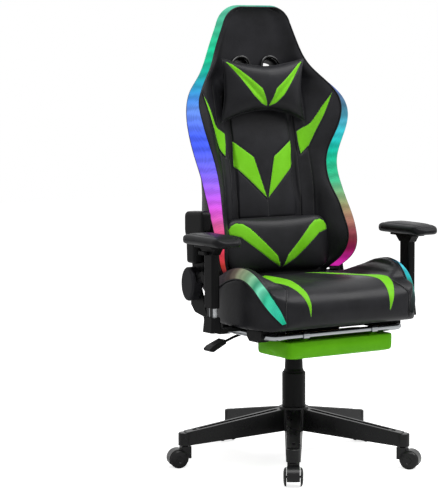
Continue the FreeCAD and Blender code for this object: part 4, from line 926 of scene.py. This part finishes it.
def close_together(line):
    """The same flat line with more points."""
    dense = []
    for a, b in zip(line[:-1], line[1:]):
        steps = max(1, int(math.dist(a, b) / POINT_GAP))
        dense += [(a[0] + (b[0] - a[0]) * k / steps, a[1] + (b[1] - a[1]) * k / steps)
                  for k in range(steps)]
    return dense + [line[-1]]


def on_front(skin, x, z):
    return skin.drop((x, BEFORE_CHAIR, z), (0, 1, 0))


def on_rear(skin, x, z):
    return skin.drop((x, BEHIND_CHAIR, z), (0, -1, 0))


skin = Skin(back)
seams = [[on_front(skin, x, z)[0] for x, z in close_together(line)] for line in PANEL_LINES + PLAIN_LINES]
seams += [[on_rear(skin, x, z)[0] for x, z in close_together(line)] for line in REAR_LINES]
rims = []
for sign in (-1, 1):
    for first, second in ((2, 3), (0, 1)):
        rims.append([(sign * back_row(z)[first], back_row(z)[second], z) for z in HEIGHTS[10:]])

# The lower end, the crown and the rim are held, and the head swells less than the rest.
HELD_BELOW, HELD_ABOVE, HEAD_START, HEAD_END = 0.512, 1.228, 1.0, 1.12
gap = near(back, seams + rims, 22.0)
pinned = np.clip(1 - (gap - 3) / 14, 0, 1)
for i, vertex in enumerate(back.data.vertices):
    x, _, z = vertex.co
    if z < HELD_BELOW or z > HELD_ABOVE or abs(x) > 0.9 * back_row(z / MM)[0]:
        pinned[i] = max(pinned[i], 0.9)
    pinned[i] = max(pinned[i], 0.6 * ramp(z, HEAD_START, HEAD_END))
puff(back, pinned, pressure=3.5, cap_mm=3.5)
applied(back, "SUBSURF", levels=1, subdivision_type="CATMULL_CLARK")
back_skin = Skin(back)
press_in(back, seams, width=5.0, depth=2.0)
print("seams on the back:", len(seams))

# %% [markdown]
# ## Harness slots
# Two slots pass right through the head of the back, where a racing seat has its shoulder belts.
# They are cut from the finished shell with a Boolean, and a glossy bezel rounds their front edge.
# The bezel is a half-sunk ring, thick enough to catch a long reflection over its top.

# %% Cut the slots and fit their bezels
ARCH = [(30, 1002), (54, 1001), (74, 1003), (81, 1012), (81, 1040), (79, 1066), (73, 1084), (62, 1093),
        (48, 1097), (34, 1094), (24, 1084), (21, 1066), (21, 1040), (22, 1010), (30, 1002)]
ARCH_FOOT = 1060       # above this height the sides of the slot turn into its arch
SLOT_POINTS = 60


def slot_outline(grow, squat=1.0):
    """The arched slot of the sitter's left in front view, pushed out by grow, with a squat arch."""
    line = [Vector((x, z if z < ARCH_FOOT else ARCH_FOOT + (z - ARCH_FOOT) * squat))
            for x, z in through(ARCH, SLOT_POINTS + 1)[:-1]]
    pushed = []
    for i, spot in enumerate(line):
        along = (line[(i + 1) % SLOT_POINTS] - line[i - 1]).normalized()
        pushed.append((spot.x + along.y * grow, spot.y - along.x * grow))
    return pushed


def slot_face(z):
    """The front of the bezel leans with the head of the back."""
    return 178.5 + (z - 990) / 12


for side, sign in (("left", 1), ("right", -1)):
    shaft = [[(sign * x, y, z) for x, z in slot_outline(2.0)] for y in (80, 320)]
    ends = [tuple(range(SLOT_POINTS)), tuple(range(2 * SLOT_POINTS - 1, SLOT_POINTS - 1, -1))]
    cutter = piece("cutter", shaft[0] + shaft[1], tube_grid(shaft) + ends, "back", "leather")
    outward(cutter)
    applied(back, "BOOLEAN", operation="DIFFERENCE", solver="EXACT", object=cutter)
    bpy.data.objects.remove(cutter)
    rings = []
    for grow, squat, y in ((2.6, 1.0, None), (-0.5, 1.0, None), (-2.0, 0.6, 222), (2.0, 1.0, 238.5),
                           (2.6, 1.0, 238.5)):
        rings.append([(sign * x, slot_face(z) if y is None else y, z)
                      for x, z in slot_outline(grow, squat)])
    rings.append(rings[0])
    liner = piece(f"slot_liner_{side}", [p for ring in rings for p in ring], tube_grid(rings), "back",
                  "trim_plastic", black_polypropylene)
    outward(liner)
    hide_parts("slot_liners")
    crest = [(sign * x, slot_face(z) + 0.5, z) for x, z in slot_outline(1.4)]
    bead(f"slot_bezel_{side}", crest, 4.2, "back", polished_abs, "trim_plastic", sides=12, closed=True)
print("harness slots: 2, faces of the back:", len(back.data.polygons))

# %% [markdown]
# ## Lime panels and the seams of the back
# The lime panels are sewn in flush with the black leather. A dark thread lies in the bottom of each
# seam. Its near-black colour is partly the thread's own and partly painted shade for the seam's
# valley: it is what makes the seams read as thin dark lines from a distance.

# %% Lime panels of the back
skin = Skin(back)
for side, sign in (("left", 1), ("right", -1)):
    for part, outline in (("centre", CENTRE_PANEL), ("shoulder", SIDE_PANEL)):
        shape = close_together([(sign * x, z) for x, z in outline + outline[:1]])[:-1]
        lime_panel(f"back_{part}_{side}", shape, lambda x, z: on_front(back_skin, x, z), "back", dip=0.9,
                   thread_depth=0.4, thread=1.0)
for lines, lay in ((PLAIN_LINES, on_front), (REAR_LINES, on_rear)):
    for line in lines:
        laid = [lay(skin, x, z) for x, z in close_together(line)]
        bead("seam", [spot + facing * 0.1 for spot, facing in laid], 0.8, "back", thread_and_seam_shade, "leather",
             sides=6)
print("plain seams:", len(PLAIN_LINES), "in front,", len(REAR_LINES), "at the rear")

# %% [markdown]
# ## Light strips
# A strip is a stretched mesh tube, flat below and crowned above, clamped between two rows of
# piping. One strip runs round the rim of the back, up one side, over the head and down the other.
# Two short ones lie in the seat wings.

# %% A crowned ribbon between two edges
TOP_STEPS, UNDER_STEPS = 12, 5
CROWN_POWER = 3.2      # the higher, the flatter the middle and the rounder the shoulders
UNDER_DEPTH = 0.4


def ribbon(name, sections, crown, lift, body, material):
    """A strip from (edge, other edge, outward direction) sections, with closed ends."""
    rings = []
    for a, b, normal in sections:
        a, b, normal = Vector(a), Vector(b), Vector(normal).normalized()
        ring = []
        for k in range(TOP_STEPS + 1):
            t = -1 + 2 * k / TOP_STEPS
            ring.append(a.lerp(b, (t + 1) / 2) + normal * (lift + crown * (1 - abs(t) ** CROWN_POWER)))
        rings.append(ring + [b.lerp(a, k / UNDER_STEPS) - normal * UNDER_DEPTH
                             for k in range(UNDER_STEPS + 1)])
    count = len(rings[0])
    faces = tube_grid(rings)
    last = (len(rings) - 1) * count
    faces += [tuple(reversed(range(count))), tuple(range(last, last + count))]
    thing = piece(name, [p for ring in rings for p in ring], faces, body, "light_strip", material)
    outward(thing)
    return thing


SIDE_TOP, HEAD_TOP = 1190, 1233.0
CORNER_START, CORNER_STEPS = 23, 14
HEAD_FRONT_Y, HEAD_REAR_Y = 178.5, 217.5


def head_path():
    """Sections over the head, from the sitter's left to the sitter's right."""
    path = [(back_row(SIDE_TOP)[0], SIDE_TOP)]
    for k in range(CORNER_STEPS + 1):
        angle = math.radians(CORNER_START + (90 - CORNER_START) * k / CORNER_STEPS)
        path.append((CORNER_X + CORNER_R * math.cos(angle), CORNER_Z + CORNER_R * math.sin(angle)))
    path += [(x, HEAD_TOP) for x in (38, 25, 12)]
    path += [(0, HEAD_TOP)] + [(-x, z) for x, z in reversed(path)]
    directions = []
    for i in range(len(path)):
        before, after = path[max(i - 1, 0)], path[min(i + 1, len(path) - 1)]
        directions.append((after[1] - before[1], 0, -(after[0] - before[0])))
    return [((x, HEAD_FRONT_Y, z), (x, HEAD_REAR_Y, z), d) for (x, z), d in zip(path, directions)]


def side_sections(sign):
    """Sections up the rim on one side, from just above the seat to the head."""
    sections = []
    for z in [518, 521, 526, 532] + list(range(538, SIDE_TOP, 8)):
        w, yo, wi, yi, *_ = back_row(z)
        across = Vector((w - wi, yo - yi, 0)).normalized()
        sections.append(((sign * wi, yi, z), (sign * w, yo, z), (sign * across.y, -across.x, 0)))
    return sections


right_run = side_sections(-1)
run = side_sections(1) + head_path() + right_run[::-1]
back_strip = ribbon("light_strip_back", run, crown=6.0, lift=0.4, body="back", material=back_light)
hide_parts("back_led")
# The piping in front stands proud of the strip's edge. The one behind is thinner and half sunk.
for place, lift, radius in ((0, 0.8, 1.9), (1, -0.6, 1.2)):
    route = through([Vector(section[place]) + Vector(section[2]).normalized() * lift for section in run],
                    3 * len(run))
    bead("piping_back", route, radius, "back", charcoal_leather, "leather")
print("strip of the back:", len(run), "sections")

# %% [markdown]
# ## The seat: a block of foam in a sewn cover
# The plain seat solid of the model is remeshed into even quads, smoothed like trimmed foam, and
# puffed up between its seams. The seams are where the wings meet the top, along both edges of each
# light strip, and round the lower edge, where the cover is stapled under the board.

# %% Covers over the plain solids


def copied(name, node, body, slot, *materials):
    """A copy of one of the model's solids that stands for it and may be reshaped."""
    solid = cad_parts[node]
    mesh = bpy.data.meshes.new_from_object(solid.evaluated_get(bpy.context.evaluated_depsgraph_get()))
    mesh.transform(solid.matrix_world)
    mesh.materials.clear()
    for material in materials:
        mesh.materials.append(material)
    thing = bpy.data.objects.new(name, mesh)
    bpy.context.collection.objects.link(thing)
    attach(thing, body)
    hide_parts(node)
    return thing


def cover(name, node, body, material, slot, voxel, smooth, shrink=0.0):
    """A cover that starts as the model's plain solid, remeshed, smoothed, then shrunk (or swollen)."""
    thing = copied(name, node, body, slot, material)
    applied(thing, "REMESH", mode="VOXEL", voxel_size=voxel * MM)
    applied(thing, "SMOOTH", factor=0.5, iterations=smooth)
    if shrink:
        normals = [v.normal.copy() for v in thing.data.vertices]
        for vertex, normal in zip(thing.data.vertices, normals):
            vertex.co -= normal * shrink * MM
    thing.data.shade_smooth()
    return thing


# inner edge and outer edge of a strip, from the rear of its wing to the front corner
SEAT_STRIP = [((228, 90, 488), (229, 90, 477)), ((236, 64, 494), (241, 64, 472)),
              ((240, 6, 515), (250, 8, 484)), ((240, -53, 541), (255, -48, 509)),
              ((238, -105, 551), (258, -104, 524)), ((235, -150, 544), (257, -148, 522)),
              ((229, -190, 518), (253, -184, 503)), ((219, -224, 484), (244, -212, 472)),
              ((208, -246, 450), (230, -235, 443)), ((199, -257, 420), (209, -252, 417))]


def seat_edge(place, sign):
    """One long edge of a seat strip as a smooth line."""
    return [(sign * x, y, z) for x, y, z in through([pair[place] for pair in SEAT_STRIP], 60)]


print("strip of a wing:", len(SEAT_STRIP), "sections")

# %% Seat cover and its seams
seat = cover("seat_cover", "seat_cushion", "seat", charcoal_leather, "leather", voxel=5.0, smooth=5)
skin = Skin(seat)
ABOVE_SEAT = 700
WING_FOOT = [(168, 88), (168, 0), (168, -120), (169, -190), (171, -216)]
CORNER = [(-171, -216, 501), (-182, -236, 493), (-192, -248, 482), (-197, -253, 465), (-198, -254, 440),
          (-198, -254, 412)]
seat_seams, strip_edges = [], []
for sign in (1, -1):
    seat_seams.append([skin.drop((sign * x, y, ABOVE_SEAT), (0, 0, -1))[0]
                       for x, y in close_together(WING_FOOT)])
    seat_seams.append([Vector((-sign * x, y, z)) for x, y, z in through(CORNER, 40)])
    strip_edges += [[Vector(p) for p in seat_edge(place, sign)] for place in (0, 1)]
gap = near(seat, seat_seams + strip_edges, 34.0)
pinned = np.clip(1 - (gap - 4) / 26, 0, 1)
STAPLED_BELOW, STAPLED_BEHIND = 415, 72
for i, vertex in enumerate(seat.data.vertices):
    spot = vertex.co / MM
    if spot.z < STAPLED_BELOW or spot.y > STAPLED_BEHIND:
        pinned[i] = 1
puff(seat, pinned, pressure=4.0, cap_mm=5.0)
applied(seat, "SUBSURF", levels=1, subdivision_type="CATMULL_CLARK")
seat_skin = Skin(seat)
press_in(seat, seat_seams + strip_edges, width=6.0, depth=1.4)
print("seat:", len(seat.data.vertices), "vertices")

# %% [markdown]
# ## Crescents of the seat
# Two slim lime crescents lie on the seat. Each starts as a point near the back, follows the foot of
# its wing, and rolls over the front edge to end in a second point. Each is drawn by itself, with an
# outer and an inner edge, so the two are only nearly mirror images. A flat pattern is rolled over
# the seat: its second number is the way along the cover, straight back from the front edge's
# centre of curvature, or round that centre for the part that hangs over the front.

# %% Roll the crescents over the seat
ROLL_Y, ROLL_Z, ROLL_R = -190.0, 440.0, 75.0
LEFT_PAIR = ([(62, 238), (104, 192), (150, 118), (175, 52), (177, 12), (167, -34), (149, -78), (126, -133)],
             [(62, 238), (91, 150), (118, 72), (137, 10), (135, -40), (127, -88), (126, -133)])
RIGHT_PAIR = ([(62, 238), (102, 198), (143, 130), (160, 62), (157, 12), (149, -36), (139, -76), (126, -133)],
              [(62, 238), (77, 150), (98, 66), (117, 8), (121, -40), (123, -88), (126, -133)])


def on_seat(x, run):
    """The skin of the seat at a point of the rolled pattern."""
    if run >= 0:
        return seat_skin.drop((x, ROLL_Y + run, ABOVE_SEAT), (0, 0, -1))
    angle = -run / ROLL_R
    out = Vector((0, -math.sin(angle), math.cos(angle)))
    return seat_skin.drop(Vector((x, ROLL_Y, ROLL_Z)) + out * 200, -out)


for side, sign, (outer, inner) in (("left", 1, LEFT_PAIR), ("right", -1, RIGHT_PAIR)):
    crescent = through(outer, 50).tolist() + through(inner, 50).tolist()[-2:0:-1]
    shape = [(sign * x, run) for x, run in crescent]
    lime_panel(f"seat_{side}", shape, on_seat, "seat")
# The dark thread in each seat seam is partly thread and partly painted shade in the seam's valley.
for seam in seat_seams:
    bead("seam_seat", [seat_skin.closest(spot)[0] for spot in seam], 0.8, "seat", thread_and_seam_shade, "leather",
         sides=6)
print("crescents: 2, of", len(crescent), "pattern points each")

# %% [markdown]
# ## Light strips of the seat
# Each wing carries one strip from its top down to the front corner, in the same mesh as on the back.

# %% Lay the strips of the seat
for side, sign in (("left", 1), ("right", -1)):
    sections = []
    inner, outer = ([Vector(p) for p in seat_edge(place, sign)] for place in (0, 1))
    for i in range(len(inner)):
        along = inner[min(i + 1, len(inner) - 1)] - inner[max(i - 1, 0)]
        facing = along.cross(outer[i] - inner[i])
        sections.append((inner[i], outer[i], facing if facing.x * sign > 0 else -facing))
    strip = ribbon(f"light_strip_seat_{side}", sections, crown=5.6, lift=0.6, body="seat",
                   material=seat_light)
    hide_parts(f"seat_led_{side}")
    for edge in (inner, outer):
        bead(f"piping_seat_{side}", edge, 1.7, "seat", charcoal_leather, "leather")
print("seat strips: 2")

# %% [markdown]
# ## Loose cushions
# The head pillow and the lumbar cushion are bags filled with loose foam, so each starts a little
# smaller than its solid and is blown up. The head pillow is a bow tie: its front has a crease in a
# V, its corners are drawn out, and its rim is pinched to a piped seam. Lime bars are sewn along the V.

# %% Head pillow
ACROSS, UP = 56, 36
PILLOW_Y = 148         # the plane of the seam round the pillow
V_FOOT, V_SLOPE, V_WIDTH = 962, 0.97, 16


def pillow_point(u, v, front):
    """A point of the bag: u from -1 to 1 across, v from 0 to 1 upwards, on its front or its rear."""
    low, high = 953 - 33 * abs(u) ** 1.8, 1071 + 21 * abs(u) ** 1.6
    half = 134 + 4 * (1 - v) - 11 * (1 - (2 * v - 1) ** 2)
    full = ((1 - abs(u) ** 3.4) * (1 - abs(2 * v - 1) ** 2.8)) ** 0.5
    x, z = half * u, low + (high - low) * v
    if not front:
        return x, PILLOW_Y + 16 * full, z
    valley = max(0.0, 1 - abs(z - (V_FOOT + V_SLOPE * abs(x))) / V_WIDTH) ** 2
    return x, PILLOW_Y - 9 * (1 - abs(u)) - 26 * full + 6 * valley * full, z


rings = []
for j in range(UP + 1):
    v = j / UP
    us = [-math.cos(math.pi * i / ACROSS) for i in range(ACROSS + 1)]
    rings.append([pillow_point(u, v, True) for u in us] + [pillow_point(u, v, False) for u in us[-2:0:-1]])
faces = tube_grid(rings)
count = len(rings[0])
for base, flip in ((0, False), (UP * count, True)):
    for i in range(ACROSS):
        quad = tuple(dict.fromkeys((base + i, base + i + 1, base + (count - 1 - i) % count,
                                    base + (count - i) % count)))
        faces.append(quad[::-1] if flip else quad)
pillow = piece("head_pillow_cover", [p for ring in rings for p in ring], faces, "head", "leather",
               charcoal_leather)
outward(pillow)
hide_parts("head_pillow")
lower, right_end = [(k / 12 - 1, 0) for k in range(25)], [(1, k / 8) for k in range(9)]
upper, left_end = [(1 - k / 12, 1) for k in range(25)], [(-1, 1 - k / 8) for k in range(9)]
rim = [pillow_point(u, v, True) for u, v in lower + right_end + upper + left_end]
skin = Skin(pillow)
CREASE = [(-127, 1086), (-70, 1030), (0, 962), (70, 1030), (127, 1086)]
crease = [on_front(skin, x, z)[0] for x, z in close_together(CREASE)]
gap, fold = near(pillow, [rim], 30.0), near(pillow, [crease], 20.0)
pinned = np.maximum(np.clip(1 - (gap - 4) / 12, 0, 1), np.clip(1 - fold / 16, 0, 1) * 0.85)
puff(pillow, pinned, pressure=4.5, cap_mm=7.0)
applied(pillow, "SUBSURF", levels=1, subdivision_type="CATMULL_CLARK")
pillow_skin = Skin(pillow)
bead("pillow_piping", rim, 1.5, "head", charcoal_leather, "leather", closed=True)
print("head pillow:", len(pillow.data.vertices), "vertices")

# %% Lime bars of the head pillow
PILLOW_BAR = [(129.5, 1088.5), (107, 1077.5), (72, 1051), (23, 1012.5), (5, 973), (1.5, 962), (23.5, 970.5),
              (50, 993), (75, 1024), (104, 1060)]
for side, sign in (("left", 1), ("right", -1)):
    shape = close_together([(sign * x, z) for x, z in PILLOW_BAR + PILLOW_BAR[:1]])[:-1]
    lime_panel(f"pillow_{side}", shape, lambda x, z: on_front(pillow_skin, x, z), "head")
print("bars of the head pillow: 2")

# %% [markdown]
# ## Lumbar cushion
# This bag is a fat pillow with square ends. Every section across it is a rounded rectangle, drawn
# as a circle whose sine and cosine are raised to a power below one. The whole bag leans with the
# back behind it.

# %% Lumbar cushion
LUMBAR_HALF, LUMBAR_Z = 170, 588
STATIONS, AROUND = 60, 64
SQUARENESS = 0.72      # 1 gives an ellipse, and smaller powers give squarer sections


def squared(value):
    """A sine or cosine pushed towards the corners of a square."""
    return math.copysign(abs(value) ** SQUARENESS, value)


rings = []
for i in range(STATIONS + 1):
    x = -LUMBAR_HALF * math.cos(math.pi * i / STATIONS)
    share = abs(x) / LUMBAR_HALF
    full = max(1e-3, 1 - share**12) ** 0.45
    front, rear = 55 + 13 * share**3, 118 - 26 * share**2
    ring = []
    for k in range(AROUND):
        angle = 2 * math.pi * k / AROUND
        z = LUMBAR_Z + (71 + 5 * share**2) * full * squared(math.sin(angle))
        y = (front + rear) / 2 + (rear - front) / 2 * full * squared(math.cos(angle))
        ring.append((x, y + 0.1 * (z - 600), z))
    rings.append(ring)
faces = tube_grid(rings)
faces += [tuple(range(AROUND))[::-1], tuple(range(STATIONS * AROUND, (STATIONS + 1) * AROUND))]
lumbar = piece("lumbar_cover", [p for ring in rings for p in ring], faces, "lumbar", "leather",
               charcoal_leather)
outward(lumbar)
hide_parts("lumbar_pillow")
held = [max(ramp(abs(v.co.x), 0.12, 0.15), ramp(v.co.y, 0.08, 0.1)) for v in lumbar.data.vertices]
puff(lumbar, np.array(held), pressure=3.5, cap_mm=4.0)
applied(lumbar, "SUBSURF", levels=1, subdivision_type="CATMULL_CLARK")
lumbar_skin = Skin(lumbar)
LUMBAR_BAR = [(17, 560), (98, 637), (118, 649), (138, 651.5), (153, 645), (162, 633), (161, 619), (148, 617),
              (129, 611.5), (40, 546), (1.5, 523.5), (4, 530)]
for side, sign in (("left", 1), ("right", -1)):
    shape = close_together([(sign * x, z) for x, z in LUMBAR_BAR + LUMBAR_BAR[:1]])[:-1]
    lime_panel(f"lumbar_{side}", shape, lambda x, z: on_front(lumbar_skin, x, z), "lumbar", dip=0.9)
print("lumbar cushion:", len(lumbar.data.vertices), "vertices")

# %% [markdown]
# ## Footrest pad
# A block of foam on a board, wrapped in lime leather and stapled to the board's upper side. The
# edges stay crisp, because the leather is pulled tight, and only the large faces swell a little.

# %% Footrest pad
STAPLED_ABOVE = 354
footpad = cover("footrest_cover", "footrest_pad", "footpad", deep_lime_leather, "green_leather",
                voxel=4.0, smooth=5, shrink=0.5)
heights = np.array([v.co.z / MM for v in footpad.data.vertices])
puff(footpad, np.where(heights > STAPLED_ABOVE, 1.0, 0.0), pressure=3.0, cap_mm=3.5)
applied(footpad, "SUBSURF", levels=1, subdivision_type="CATMULL_CLARK")
print("footrest pad:", len(footpad.data.vertices), "vertices")

# %% [markdown]
# ## Footrest board
# The board that carries the pad is wrapped too, so only its two saddle clips show. They are chrome,
# like the tube that they turn on. The board is copied from the model, and each face gets its
# material by height: everything above the wrapped top belongs to a clip.

# %% Wrapped board and chrome clips
BOARD_THICK = 12
board = copied("footrest_board_wrapped", "footrest_board", "footpad", "green_leather", deep_lime_leather,
               chrome)
top = min(v.co.z for v in board.data.vertices) + BOARD_THICK * MM
for face in board.data.polygons:
    face.material_index = 1 if face.center.z > top else 0
print("board: clip faces", sum(face.material_index for face in board.data.polygons))

# %% [markdown]
# ## Armrest pads and the cover of the hinge arm
# The pads are foamed in one piece over a steel plate, so they have no sharp edge anywhere. A shallow
# groove runs round the top and leaves a thick soft lip. The plastic cover over the arm of the
# recliner has the same soft edges. Both start from the plain solids of the model.

# %% Soft pads with a grooved top
LIP = (10, 12)         # width of the lip at the sides and at the ends
LOOP_POINTS, LOOP_POWER = 72, 0.55
ABOVE_PAD = 60

for side in ("left", "right"):
    pad = cover(f"arm_cushion_{side}", f"arm_pad_{side}", f"arm_{side}", soft_urethane, "trim_plastic",
                voxel=3.0, smooth=14, shrink=-2.6)
    low, high = (Vector(corner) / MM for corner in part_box(f"arm_pad_{side}"))
    middle, half = (low + high) / 2, (high - low) / 2
    loop = []
    for k in range(LOOP_POINTS):
        angle = 2 * math.pi * k / LOOP_POINTS
        c, s = math.cos(angle), math.sin(angle)
        loop.append((middle.x + (half.x - LIP[0]) * math.copysign(abs(c) ** LOOP_POWER, c),
                     middle.y + (half.y - LIP[1]) * math.copysign(abs(s) ** LOOP_POWER, s)))
    skin = Skin(pad)
    groove = [skin.drop((x, y, high.z + ABOVE_PAD), (0, 0, -1))[0] for x, y in loop + loop[:1]]
    applied(pad, "SUBSURF", levels=1, subdivision_type="CATMULL_CLARK")
    press_in(pad, [groove], width=3.5, depth=1.0)
print("armrest pads: 2")

# %% Cover of the hinge arm
guard = cover("hinge_arm_cover", "back_arm_cover", "back", black_polypropylene, "grey_plastic",
              voxel=3.0, smooth=14, shrink=-1.5)
print("hinge arm cover:", len(guard.data.vertices), "vertices")
